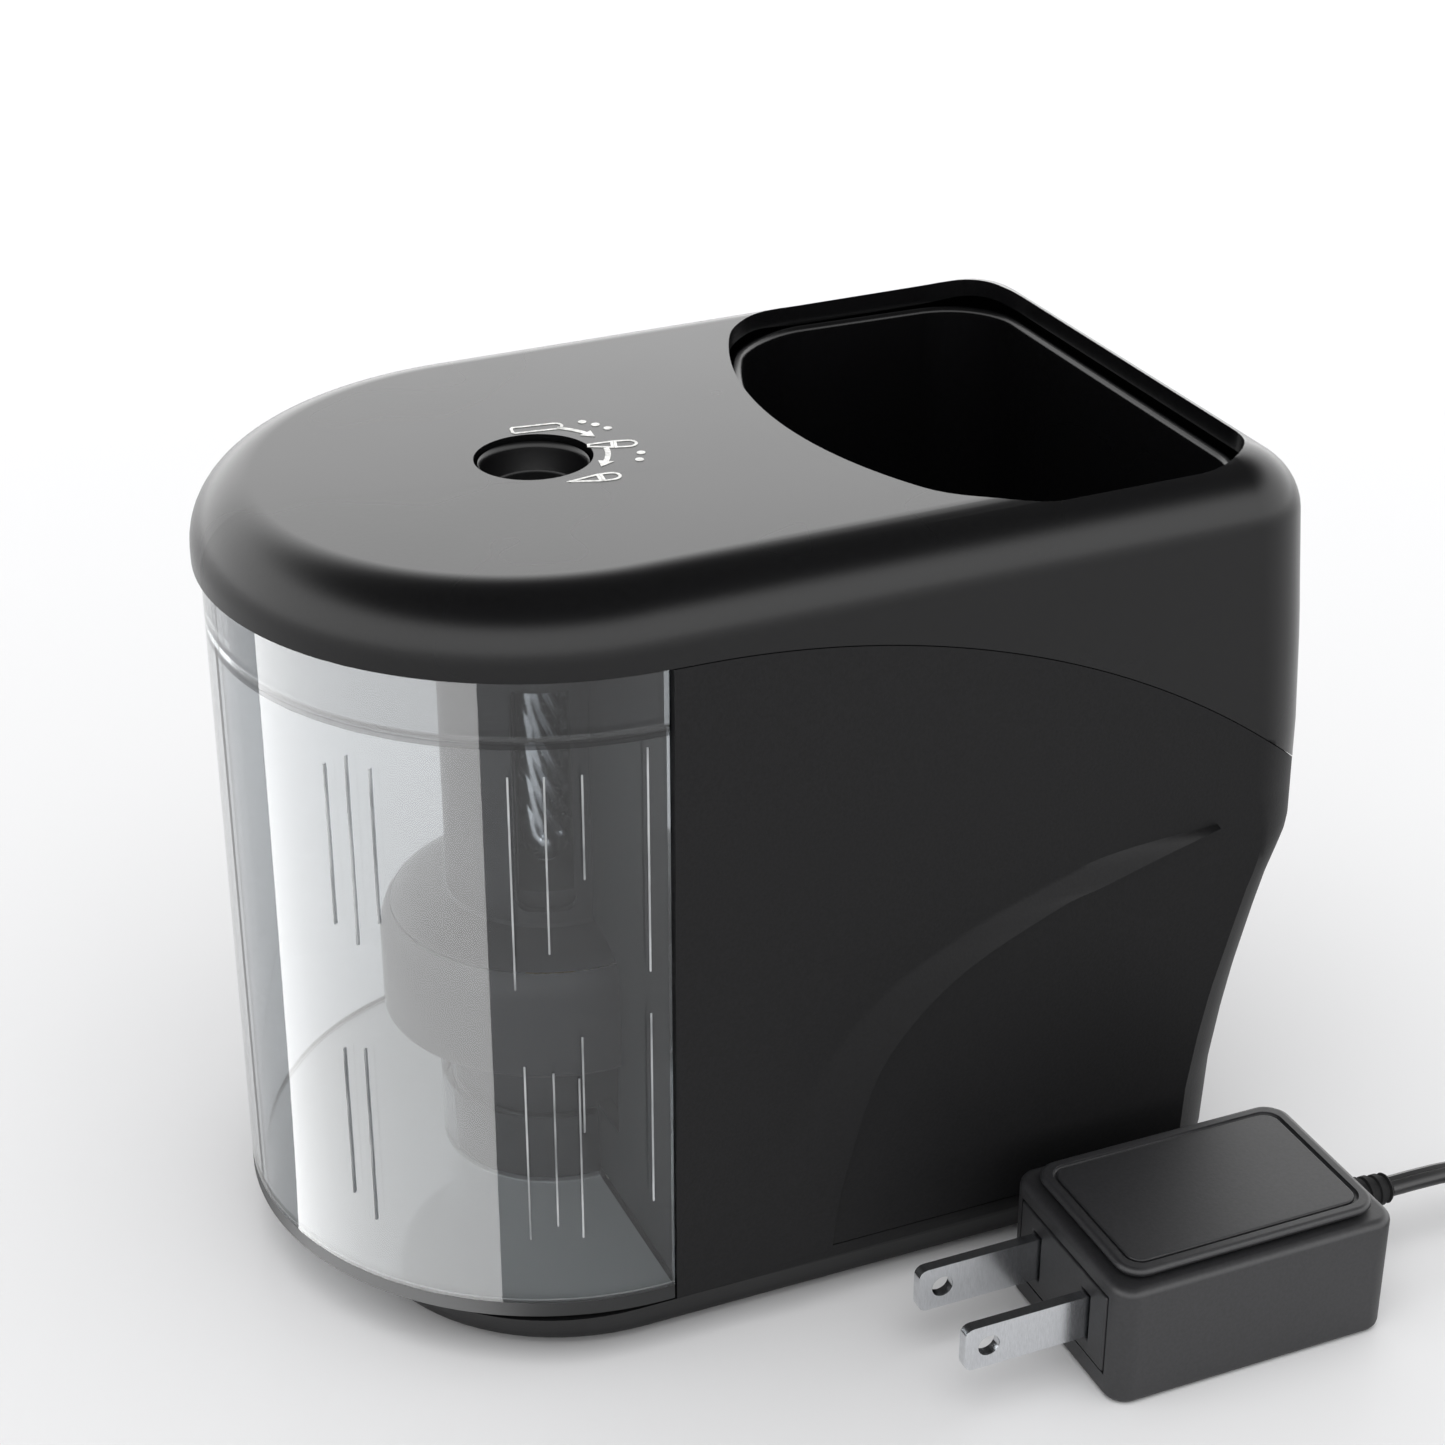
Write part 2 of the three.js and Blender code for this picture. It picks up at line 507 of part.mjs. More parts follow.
function cordTube(points, steps) {
  const section = new THREE.Shape(arc(0, 0, CORD_D / 2, 0, 315, 7));
  const route = new THREE.CatmullRomCurve3(points.map((p) => new THREE.Vector3(...p)));
  return solid(new THREE.ExtrudeGeometry(section, { extrudePath: route, steps }));
}

const coil = turned([[COIL.inner, 0.02], [COIL.outer, 0.02], [COIL.outer, COIL.height],
  [COIL.inner, COIL.height], [COIL.inner, 0.02]], 36);
const coilPlaced = solid(geometryOf(coil).translate(COIL.x, COIL.y, 0));
const clearOfCoil = solid(new THREE.CylinderGeometry(COIL.outer + GAP, COIL.outer + GAP, 40, 48)
  .rotateX(Math.PI / 2).translate(COIL.x, COIL.y, 0));
add('power_cord', cordTube(CORD_ROUTE, 12).subtract(clearOfCoil), rubberBlack);
add('cord_coil', coilPlaced, rubberBlack);
add('cord_end', cordTube(PLUG_ROUTE, 10).subtract(clearOfCoil), rubberBlack);

// The plug lies on the floor, pointing along -Y.
function alongPlug(profile, sides = 24) {
  return geometryOf(turned(profile, sides)).rotateX(Math.PI / 2).translate(167.8, -88.3, 4.8);
}
add('plug_relief', alongPlug([[0, 0], [1.9, 0], [2.7, 10], [0, 10]]), rubberBlack);
add('plug_body', alongPlug([[0, 10.3], [4, 10.3], [4.7, 12], [4.7, 25], [4.1, 26], [0, 26]]), satinBlack);
add('plug_barrel', alongPlug([[0, 26.3], [2.7, 26.3], [2.75, 35.6], [1.15, 35.6], [1.15, 28], [0, 28]]),
  brightSteel);

export default group;
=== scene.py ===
# An electric pencil sharpener with a clear shavings bin and a pencil cup, and its plug-in adapter.
import math

import bmesh
import bpy
from mathutils import Matrix, Vector


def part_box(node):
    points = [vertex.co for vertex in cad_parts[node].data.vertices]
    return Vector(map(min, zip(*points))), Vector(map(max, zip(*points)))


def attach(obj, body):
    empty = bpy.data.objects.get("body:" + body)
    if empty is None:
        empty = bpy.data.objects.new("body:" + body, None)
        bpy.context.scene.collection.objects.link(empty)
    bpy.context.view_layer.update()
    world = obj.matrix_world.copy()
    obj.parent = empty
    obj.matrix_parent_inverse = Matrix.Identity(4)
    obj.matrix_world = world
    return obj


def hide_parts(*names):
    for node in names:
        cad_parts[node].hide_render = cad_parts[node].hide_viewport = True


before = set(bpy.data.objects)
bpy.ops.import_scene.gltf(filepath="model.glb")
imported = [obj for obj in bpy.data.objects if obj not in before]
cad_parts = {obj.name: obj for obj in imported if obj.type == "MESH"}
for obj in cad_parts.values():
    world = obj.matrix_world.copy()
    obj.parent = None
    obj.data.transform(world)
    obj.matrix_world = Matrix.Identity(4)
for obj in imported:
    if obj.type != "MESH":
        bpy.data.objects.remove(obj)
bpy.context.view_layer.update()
MM = 0.001
bush_low, bush_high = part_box("carrier_bush")
AXIS_X = (bush_low.x + bush_high.x) / 2          # the axis that the pencil goes in along

# ---- Camera: a long lens, from above the bin's near side ----
CAMERA_PLACE = (-135.1, -315.9, 243.9)           # mm
CAMERA_AIM = Vector((0.35113, 0.81599, -0.45921))
camera = bpy.data.objects.new("camera", bpy.data.cameras.new("camera"))
bpy.context.scene.collection.objects.link(camera)
camera.data.sensor_width = 36
camera.data.lens = 71.74
camera.location = [c * MM for c in CAMERA_PLACE]
camera.rotation_euler = CAMERA_AIM.to_track_quat("-Z", "Y").to_euler()
bpy.context.scene.camera = camera

# ---- Studio: pale walls, a dark ceiling and a glossy white floor. What gloss picks up is set apart from
# what lights the object, so that flat tops go grey and rounded edges stay dark at every side.
def add_node(material, kind, settings=None, **links):
    """One node, its socket values and attributes, and what is linked into its sockets."""
    tree = material.node_tree
    node = tree.nodes.new(kind)
    for key, value in (settings or {}).items():
        if key in node.inputs:
            node.inputs[key].default_value = value
        else:
            setattr(node, key, value)
    for key, source in links.items():
        tree.links.new(source, node.inputs[key.replace("_", " ")])
    return node


def linear(hex_colour, alpha=1.0):
    """An sRGB hex colour as linear values."""
    channels = [int(hex_colour[i:i + 2], 16) / 255 for i in (1, 3, 5)]
    return [c / 12.92 if c <= 0.04045 else ((c + 0.055) / 1.055) ** 2.4 for c in channels] + [alpha]


def new_material(name):
    """A new material and its main shader."""
    material = bpy.data.materials.new(name)
    material.use_nodes = True
    return material, material.node_tree.nodes["Principled BSDF"]


def deselect_all():
    for thing in bpy.context.selected_objects:
        thing.select_set(False)


bpy.context.scene.view_settings.view_transform = "Standard"
world = bpy.data.worlds.new("studio")
bpy.context.scene.world = world
world.use_nodes = True
room = world.node_tree.nodes["Background"]
WALL_LIGHT = 0.97                                # what the walls give to everything but gloss
GLOSS_WALL, GLOSS_CEILING = (2.9, 2.9, 2.9, 1), (0.1, 0.1, 0.1, 1)
room_way = add_node(world, "ShaderNodeTexCoord")
room_up = add_node(world, "ShaderNodeSeparateXYZ", Vector=room_way.outputs["Generated"])
walls = add_node(world, "ShaderNodeValToRGB", Fac=room_up.outputs["Z"])
walls.color_ramp.interpolation = "EASE"
walls.color_ramp.elements[0].position, walls.color_ramp.elements[0].color = 0.5, GLOSS_WALL
walls.color_ramp.elements[1].position, walls.color_ramp.elements[1].color = 0.78, GLOSS_CEILING
ray_kind = add_node(world, "ShaderNodeLightPath")
seen = add_node(world, "ShaderNodeMix", {"data_type": "RGBA"})
world.node_tree.links.new(ray_kind.outputs["Is Glossy Ray"], seen.inputs[0])
seen.inputs[6].default_value = (WALL_LIGHT, WALL_LIGHT, WALL_LIGHT, 1)
world.node_tree.links.new(walls.outputs["Color"], seen.inputs[7])
world.node_tree.links.new(seen.outputs[2], room.inputs["Color"])

deselect_all()
bpy.ops.mesh.primitive_plane_add(size=6, location=(0, 0, 0))
floor = bpy.context.object
floor.name = "floor"
floor_paint, floor_shader = new_material("white_acrylic_sheet")
floor_shader.inputs["Base Color"].default_value = linear("#ebebec")
floor_shader.inputs["Roughness"].default_value = 0.18
floor_shader.inputs["IOR"].default_value = 1.13             # a thin soft gloss, even seen at a low angle
floor.data.materials.append(floor_paint)

overhead = bpy.data.objects.new("overhead", bpy.data.lights.new("overhead", "AREA"))
bpy.context.scene.collection.objects.link(overhead)
overhead.data.shape = "RECTANGLE"
overhead.data.size, overhead.data.size_y = 0.9, 0.7
overhead.data.energy = 2.2
overhead.location = (-0.1, -0.3, 0.95)
overhead.rotation_euler = (Vector((0, 0, 0.05)) - overhead.location).to_track_quat("-Z", "Y").to_euler()
overhead.visible_camera = overhead.visible_glossy = False

# ---- Adapter lead: a slim black PVC twin lead, its two cores side by side under one skin with a groove
# between them. It leaves the adapter through the relief, runs out along the table and is stored in a
# round coil of two layers, and its far end goes into the barrel plug.
CORD_D = 3.2 * MM
LEAD_ROUTE = [(97.3, -60.6, 9.7), (101, -60.6, 9.7), (105, -60.6, 9.65), (109, -60.6, 9.4), (113, -60.6, 8.7),
              (117, -60.6, 7.4), (121, -60.6, 5.7), (125, -60.6, 4), (129, -60.6, 2.6), (134, -60.6, 1.8)]
PLUG_ROUTE = [(152, -63.4, 4.8), (156, -66.2, 4.8), (160.2, -69.9, 4.8), (163.8, -74.2, 4.8),
              (166.4, -79, 4.8), (167.6, -84, 4.8), (167.8, -88, 4.8)]
COIL_CENTRE = (138, -86.2)
COIL_OUT, COIL_IN, COIL_STEP = 25.6, 12.8, 3.2
COIL_TURNS = 9.04


def coil_point(turn):
    """A place on the coil, in mm: in on the floor, one turn to climb, and out again on top."""
    lower, upper = COIL_STEP / 2, COIL_STEP * 1.5
    if turn < 4:
        r, z = COIL_OUT - COIL_STEP * turn, lower
    elif turn < 5:
        climb = turn - 4
        r = COIL_IN - 1.3 * math.sin(math.pi * climb)
        z = lower + (upper - lower) * climb * climb * (3 - 2 * climb)
    else:
        r, z = min(COIL_IN + COIL_STEP * (turn - 5), COIL_OUT), upper
    a = math.pi / 2 - 2 * math.pi * turn
    return (COIL_CENTRE[0] + r * math.cos(a), COIL_CENTRE[1] + r * math.sin(a), z)


coil_steps = int(COIL_TURNS * 32)
route = LEAD_ROUTE + [coil_point(COIL_TURNS * i / coil_steps) for i in range(coil_steps + 1)] + PLUG_ROUTE
route = [Vector((AXIS_X + x * MM, y * MM, z * MM)) for x, y, z in route]
for _ in range(2):                               # ease the joins between the stretches
    route[1:-1] = [(a + b * 2 + c) / 4 for a, b, c in zip(route, route[1:], route[2:])]


def twin_section(steps=20):
    """The figure-of-eight section of a twin lead, in metres: wide, lower, with a groove each side."""
    points = []
    for i in range(steps):
        a = 2 * math.pi * i / steps
        x = math.cos(a)
        points.append((0.5 * CORD_D * x, 0.5 * CORD_D * math.sin(a) * (0.8 - 0.26 * math.exp(-(x / 0.2) ** 2))))
    return points


def swept(name, path, section):
    """A closed tube of that section along a path, its width kept level."""
    mesh = bpy.data.meshes.new(name)
    work = bmesh.new()
    rings = []
    for i, p in enumerate(path):
        along = (path[min(i + 1, len(path) - 1)] - path[max(i - 1, 0)]).normalized()
        side = along.cross(Vector((0, 0, 1))).normalized()
        rise = side.cross(along)
        rings.append([work.verts.new(p + side * x + rise * y) for x, y in section])
    for a, b in zip(rings, rings[1:]):
        for i in range(len(section)):
            j = (i + 1) % len(section)
            work.faces.new((a[i], a[j], b[j], b[i]))
    work.faces.new(rings[0][::-1])
    work.faces.new(rings[-1])
    bmesh.ops.recalc_face_normals(work, faces=work.faces)
    work.to_mesh(mesh)
    work.free()
    piece = bpy.data.objects.new(name, mesh)
    bpy.context.scene.collection.objects.link(piece)
    return piece


def smooth(piece, degrees=35):
    deselect_all()
    piece.select_set(True)
    bpy.context.view_layer.objects.active = piece
    bpy.ops.object.shade_smooth_by_angle(angle=math.radians(degrees))


lead = swept("adapter_lead", route, twin_section())
smooth(lead)
pvc, pvc_shader = new_material("pvc_lead_skin")     # soft PVC: an even satin with a faint waviness
pvc_shader.inputs["Base Color"].default_value = linear("#1b1b1c")
pvc_shader.inputs["Roughness"].default_value = 0.38
pvc_place = add_node(pvc, "ShaderNodeTexCoord")
pvc_wave = add_node(pvc, "ShaderNodeTexNoise", {"Scale": 180.0, "Detail": 2.0},
                    Vector=pvc_place.outputs["Object"])
pvc_bump = add_node(pvc, "ShaderNodeBump", {"Strength": 0.12, "Distance": 0.0003},
                    Height=pvc_wave.outputs["Fac"])
pvc.node_tree.links.new(pvc_bump.outputs["Normal"], pvc_shader.inputs["Normal"])
lead.data.materials.append(pvc)
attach(lead, "housing")
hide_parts("power_cord", "cord_coil", "cord_end")

# ---- Base: a shallow satin ABS tray under the bin and the body. It swells from a narrower sole, and its
# upper edge makes a low wave where it drops to go under the bin. The case screws sit deep in its sole.
def at(x, y, z):
    """A place in metres, from mm about the axis that the pencil goes in along."""
    return Vector((AXIS_X + x * MM, y * MM, z * MM))


def pick(piece, kind, wanted):
    """Edit mode, with only the vertices, edges or faces selected that the rule accepts."""
    deselect_all()
    piece.select_set(True)
    bpy.context.view_layer.objects.active = piece
    bpy.ops.object.mode_set(mode="EDIT")
    bpy.ops.mesh.select_mode(type=kind)
    bpy.ops.mesh.select_all(action="DESELECT")
    bpy.ops.object.mode_set(mode="OBJECT")
    for part in {"VERT": piece.data.vertices, "EDGE": piece.data.edges, "FACE": piece.data.polygons}[kind]:
        part.select = wanted(part)
    bpy.ops.object.mode_set(mode="EDIT")


def done():
    bpy.ops.object.mode_set(mode="OBJECT")


def place_of(vertex):
    return (vertex.co.x - AXIS_X) / MM, vertex.co.y / MM, vertex.co.z / MM


def reshape(piece, rule):
    """Each vertex is moved by a rule on its place in mm."""
    for vertex in piece.data.vertices:
        vertex.co = at(*rule(*place_of(vertex)))


def block(name, low, high):
    """A box between two corners in mm."""
    deselect_all()
    low, high = at(*low), at(*high)
    bpy.ops.mesh.primitive_cube_add(size=1, location=(low + high) / 2)
    piece = bpy.context.object
    piece.scale = high - low
    bpy.ops.object.transform_apply()
    piece.name = piece.data.name = name
    return piece


def plate(name, low, high, z, front, rear, steps):
    """A flat face between two corners in mm, its front and rear corners rounded."""
    deselect_all()
    bpy.ops.mesh.primitive_plane_add(size=1, location=(at(*low, z) + at(*high, z)) / 2)
    piece = bpy.context.object
    piece.scale = (at(*high, z) - at(*low, z)).xy.to_3d() + Vector((0, 0, 1))
    bpy.ops.object.transform_apply()
    piece.name = piece.data.name = name
    middle = (low[0] + high[0]) / 2
    for radius, rule in ((front, lambda v: place_of(v)[0] < middle),
                         (rear, lambda v: place_of(v)[0] > high[0] - 0.01)):
        if radius:
            pick(piece, "VERT", rule)
            bpy.ops.mesh.bevel(offset=radius * MM, segments=steps, affect="VERTICES")
            done()
    return piece


def raise_face(piece, levels):
    """The face drawn upwards through the given heights in mm."""
    pick(piece, "FACE", lambda face: True)
    height = piece.data.vertices[0].co.z / MM
    for level in levels:
        bpy.ops.mesh.extrude_region_move(TRANSFORM_OT_translate={"value": (0, 0, (level - height) * MM)})
        height = level
    bpy.ops.mesh.select_all(action="SELECT")
    bpy.ops.mesh.normals_make_consistent(inside=False)
    done()


def use(piece, kind, **settings):
    """A modifier, set and applied."""
    deselect_all()
    piece.select_set(True)
    bpy.context.view_layer.objects.active = piece
    modifier = piece.modifiers.new(kind.lower(), kind)
    for key, value in settings.items():
        setattr(modifier, key, value)
    bpy.ops.object.modifier_apply(modifier=modifier.name)


def combine(piece, operation, *tools):
    for tool in tools:
        use(piece, "BOOLEAN", operation=operation, object=tool, solver="MANIFOLD")
        bpy.data.objects.remove(tool)


def soften(piece, width, segments=2, degrees=40, smooth_degrees=32):
    """Moulded edges: a small round on each sharp edge, then smooth shading."""
    use(piece, "BEVEL", width=width * MM, segments=segments, limit_method="ANGLE",
        angle_limit=math.radians(degrees), use_clamp_overlap=True)
    smooth(piece, smooth_degrees)
    use(piece, "WEIGHTED_NORMAL", keep_sharp=True, weight=80)


def turned(name, profile, sides, centre=(0, 0)):
    """A closed form: a profile of (radius, height) in mm, spun once about an upright axis."""
    mesh = bpy.data.meshes.new(name)
    mesh.from_pydata([at(centre[0] + r, centre[1], z) for r, z in profile],
                     [(i, i + 1) for i in range(len(profile) - 1)], [])
    piece = bpy.data.objects.new(name, mesh)
    bpy.context.scene.collection.objects.link(piece)
    pick(piece, "VERT", lambda vertex: True)
    bpy.ops.mesh.spin(steps=sides, angle=2 * math.pi, center=at(*centre, 0), axis=(0, 0, 1), dupli=False)
    bpy.ops.mesh.select_all(action="SELECT")
    bpy.ops.mesh.remove_doubles(threshold=1e-6)
    bpy.ops.mesh.normals_make_consistent(inside=False)
    done()
    return piece


def seam_block(rule, depth=-40):
    """All that lies below a seam, whose height in mm goes by x."""
    deselect_all()
    bpy.ops.mesh.primitive_grid_add(x_subdivisions=126, y_subdivisions=1, size=1, location=at(30, 0, 0))
    piece = bpy.context.object
    piece.scale = (189 * MM, 140 * MM, 1)
    bpy.ops.object.transform_apply()
    pick(piece, "FACE", lambda face: True)
    bpy.ops.mesh.extrude_region_move(TRANSFORM_OT_translate={"value": (0, 0, depth * MM)})
    bpy.ops.mesh.select_all(action="SELECT")
    bpy.ops.mesh.normals_make_consistent(inside=False)
    done()
    reshape(piece, lambda x, y, z: (x, y, rule(x) if z > depth / 2 else z))
    return piece


def eased(t):
    t = min(max(t, 0), 1)
    return t * t * (3 - 2 * t)


def base_seam(x):
    return 7.2 + 1.9 * eased((x - 8) / 12)


def put(piece, body, slot, material, *nodes):
    """Its finish, the body that it rides on, and the CAD nodes that it stands for."""
    piece.data.materials.clear()
    piece.data.materials.append(material)
    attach(piece, body)
    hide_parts(*nodes)


def moulded(name, colour, roughness, grain_mm, grain_depth, specular, sheen_change=0.06):
    """Moulded ABS. The tool's texture gives a fine grain, and its flow a slow change of gloss."""
    material, shader = new_material(name)
    shader.inputs["Specular IOR Level"].default_value = specular
    where = add_node(material, "ShaderNodeTexCoord").outputs["Object"]
    grain = add_node(material, "ShaderNodeTexNoise", {"Scale": 1000 / grain_mm, "Detail": 3.0, "Roughness": 0.6},
                     Vector=where)
    flow = add_node(material, "ShaderNodeTexNoise", {"Scale": 28.0, "Detail": 2.0}, Vector=where)
    gloss = add_node(material, "ShaderNodeMapRange",
                     {"To Min": roughness - sheen_change, "To Max": roughness + sheen_change},
                     Value=flow.outputs["Fac"])
    dark, light = [linear(colour)[i] * 0.82 for i in range(3)], [linear(colour)[i] * 1.22 for i in range(3)]
    tone = add_node(material, "ShaderNodeValToRGB", Fac=grain.outputs["Fac"])
    tone.color_ramp.elements[0].position, tone.color_ramp.elements[0].color = 0.35, dark + [1]
    tone.color_ramp.elements[1].position, tone.color_ramp.elements[1].color = 0.65, light + [1]
    bump = add_node(material, "ShaderNodeBump", {"Strength": 0.35, "Distance": grain_depth * MM},
                    Height=grain.outputs["Fac"])
    material.node_tree.links.new(tone.outputs["Color"], shader.inputs["Base Color"])
    material.node_tree.links.new(gloss.outputs["Result"], shader.inputs["Roughness"])
    material.node_tree.links.new(bump.outputs["Normal"], shader.inputs["Normal"])
    return material


satin_abs = moulded("satin_abs_spark_grain", "#121213", 0.5, 0.45, 0.06, 0.2)
gloss_abs = moulded("gloss_abs_polished", "#0b0b0c", 0.27, 0.6, 0.012, 0.3, 0.03)

SOLE_TABLE = [(1.2, 38.2, -29.8, 85.2), (1.9, 38.9, -30.4, 85.6), (2.6, 39.2, -30.8, 85.8), (7.2, 41.7, -33, 86.3),
              (12, 42, -33.2, 86.4)]                # height, half width, front and rear, in mm


def sole_at(z):
    for low, high in zip(SOLE_TABLE, SOLE_TABLE[1:]):
        if z <= high[0]:
            share = (z - low[0]) / (high[0] - low[0])
            return [a + (b - a) * share for a, b in zip(low[1:], high[1:])]
    return SOLE_TABLE[-1][1:]


def base_form(x, y, z):
    half, front, rear = sole_at(z)
    x = front + (x + 33.2) * (rear - front) / (86.4 + 33.2)
    return x, y * half / 42, z


JOIN_X = 0.9                                     # where bin and body meet, mm
base = plate("base_tray", (-33.2, -42), (86.4, 42), 1.2, 29, 16, 20)
raise_face(base, [1.9, 2.6, 4, 5.6, 7.2, 9, 12])
reshape(base, base_form)
combine(base, "INTERSECT", seam_block(base_seam))


def copy_of(piece):
    twin = piece.copy()
    twin.data = piece.data.copy()
    bpy.context.scene.collection.objects.link(twin)
    return twin


outside = copy_of(base)
hollow = plate("hollow", (JOIN_X + 1.8, -39.2), (84, 39.2), 3.2, 4, 14, 10)
raise_face(hollow, [30])
motor_well = block("motor_well", (-12, -12, 3.2), (8, 12, 30))
combine(base, "DIFFERENCE", hollow, motor_well)
SCREW_X, SCREW_Y = (16, 68), (33, -33)
for x in SCREW_X:
    for y in SCREW_Y:
        boss = turned("boss", [(0, 0), (5, 0), (5, 6.9), (0, 6.9)], 32, (x, y))
        combine(boss, "INTERSECT", copy_of(outside))
        well = turned("well", [(0, 0), (3.3, 0), (3.3, 3.4), (1.9, 3.4), (1.9, 9), (0, 9)], 32, (x, y))
        combine(base, "UNION", boss)
        combine(base, "DIFFERENCE", well)
bpy.data.objects.remove(outside)
soften(base, 0.3)
put(base, "housing", "satin_black", satin_abs, "base_cover")

# ---- Body: one matte ABS shell, open towards the bin. Its rear wall leans in below a shoulder, its lower
# corners meet the sides in a crease, and a raised crescent sweeps over each side.
REAR_TABLE = [(0, 86.2), (9, 86.5), (20, 86.9), (28, 88), (35, 89.3), (44, 90.4), (50, 91.2), (56, 92.6), (64, 92.5),
              (72, 92.3), (86, 91.3), (100, 89.7), (112, 88.2)]              # height, rear face, in mm
CORNER_TABLE = [(0, 19), (35, 18), (45, 15), (53, 12), (58, 10), (112, 10)]  # height, corner radius
CREASE_TABLE = [(0, 1.8), (35, 1.5), (45, 1.1), (53, 0.6), (57, 0.15), (64, 0), (112, 0)]  # how far it overshoots
REAR_X = 92.6
CORNER_R = 10
SHELL_WALL = 2.4
GAP = 0.3                                        # clearance between neighbouring mouldings


def table_at(table, z):
    for (z0, v0), (z1, v1) in zip(table, table[1:]):
        if z <= z1:
            return v0 + (v1 - v0) * (z - z0) / (z1 - z0)
    return table[-1][1]


def half_at(z):
    return 42 + min(max((z - 8) / 82, 0), 1)


def rear_form(x, y, z):
    """The plain outline, rear corners of 10 mm, brought to the body's own width, corners and rear face."""
    side = 1 if y > 0 else -1
    half, rear = half_at(z), table_at(REAR_TABLE, z)
    if x < REAR_X - CORNER_R - 0.01:
        return x, y * half / 43, z
    radius, over = table_at(CORNER_TABLE, z), table_at(CREASE_TABLE, z)
    sweep = math.atan2(x - (REAR_X - CORNER_R), abs(y) - (43 - CORNER_R))
    start = math.acos((radius - over) / radius)
    a = start + (math.pi / 2 - start) * sweep / (math.pi / 2)
    return rear - radius + radius * math.sin(a), side * (half + over - radius + radius * math.cos(a)), z


def arch_seam(x):
    return 98.4 - (130 - math.sqrt(130 ** 2 - (x - 5) ** 2) if x > 5 else 0)


shell = plate("body_moulding", (JOIN_X + GAP, -43), (REAR_X, 43), 6, 0, CORNER_R, 12)
pick(shell, "FACE", lambda face: True)
bpy.ops.mesh.delete(type="ONLY_FACE")
done()
pick(shell, "EDGE", lambda edge: all(place_of(shell.data.vertices[i])[0] < 2 for i in edge.vertices))
bpy.ops.mesh.delete(type="EDGE")
done()
pick(shell, "EDGE", lambda edge: True)
for _ in range(47):
    bpy.ops.mesh.extrude_region_move(TRANSFORM_OT_translate={"value": (0, 0, 2 * MM)})
bpy.ops.mesh.select_all(action="SELECT")
bpy.ops.mesh.normals_make_consistent(inside=False)
done()
reshape(shell, rear_form)
use(shell, "SOLIDIFY", thickness=SHELL_WALL * MM, offset=-1, use_even_offset=True)

# the crescents: each a slim wedge, flush along its upper edge and proud along its lower one
CRESCENT_UPPER = [(9.3, 6.2), (11.4, 16.9), (15.5, 28.2), (21, 38.2), (27.8, 46.3), (36.1, 51.6), (45.8, 55.9),
                  (60, 60), (77, 61.1)]
CRESCENT_LOWER = [(22.6, 6.2), (23.2, 14), (24.8, 22.5), (29.4, 36.7), (39.1, 47.2), (53.1, 54.2), (60.3, 56.2),
                  (68.5, 58.6), (77, 60.9)]
CRESCENT_RISE = 1.0


def along(points, share):
    """A point on a smooth line through a few points, by its share of the way."""
    place = min(max(share, 0), 1) * (len(points) - 1)
    i = min(int(place), len(points) - 2)
    t = place - i
    p = [Vector(points[min(max(i + k, 0), len(points) - 1)]) for k in (-1, 0, 1, 2)]
    return 0.5 * (2 * p[1] + (p[2] - p[0]) * t + (2 * p[0] - 5 * p[1] + 4 * p[2] - p[3]) * t ** 2
                  + (3 * p[1] - p[0] - 3 * p[2] + p[3]) * t ** 3)


def crescent(side):
    deselect_all()
    bpy.ops.mesh.primitive_grid_add(x_subdivisions=64, y_subdivisions=6, size=1)
    piece = bpy.context.object
    piece.name = "crescent"

    def lay(vertex):
        sweep, drop = vertex.co.x + 0.5, 0.5 - vertex.co.y
        upper, lower = along(CRESCENT_UPPER, sweep), along(CRESCENT_LOWER, sweep)
        x, z = upper + (lower - upper) * drop
        return x, side * (half_at(z) - 0.03 + (CRESCENT_RISE + 0.03) * drop), z

    for vertex in piece.data.vertices:
        vertex.co = at(*lay(vertex))
    pick(piece, "FACE", lambda face: True)
    bpy.ops.mesh.extrude_region_move(TRANSFORM_OT_translate={"value": (0, -side * 1.2 * MM, 0)})
    bpy.ops.mesh.select_all(action="SELECT")
    bpy.ops.mesh.normals_make_consistent(inside=False)
    done()
    return piece


combine(shell, "UNION", crescent(-1), crescent(1))
combine(shell, "DIFFERENCE", seam_block(lambda x: base_seam(x) + GAP))
combine(shell, "INTERSECT", seam_block(lambda x: arch_seam(x) - GAP / 2))


def laid(piece, place, turn):
    """A piece that was made on the pencil's axis, turned and moved to its place."""
    piece.data.transform(Matrix.Translation(at(*place)) @ turn @ Matrix.Translation(-at(0, 0, 0)))
    return piece


ALONG_X = Matrix.Rotation(math.pi / 2, 4, "Y")
ALONG_MINUS_Y = Matrix.Rotation(math.pi / 2, 4, "X")
SOCKET_PLACE = (88, 0, 14.5)
combine(shell, "DIFFERENCE", laid(turned("socket_hole", [(0, -8), (4.4, -8), (4.4, 8), (0, 8)], 40),
                                  SOCKET_PLACE, ALONG_X))
soften(shell, 0.22, 2, 50, 16)
put(shell, "housing", "satin_black", satin_abs, "body_shell")

# ---- Cap: polished ABS, one cover from the bin's rim to the cup. Its edge is rolled over all round, its top
# climbs a little towards the cup, and its lower edge follows the arched seam on the body.
CAP_LEVELS = [60, 64, 68, 72, 76, 80, 84, 88, 92, 96]
CAP_EDGE = 8


def cap_rule(x, y, z):
    """The plain outline brought to the rear wall's slope and the body's width, and tilted on top."""
    x += (table_at(REAR_TABLE, z) - REAR_X) * min(max((x - 60) / 20, 0), 1)
    return x, y * half_at(z) / 43, z + (2.3 * (x + 43) / 135 - 0.3) * min(max((z - 90) / 10, 0), 1)


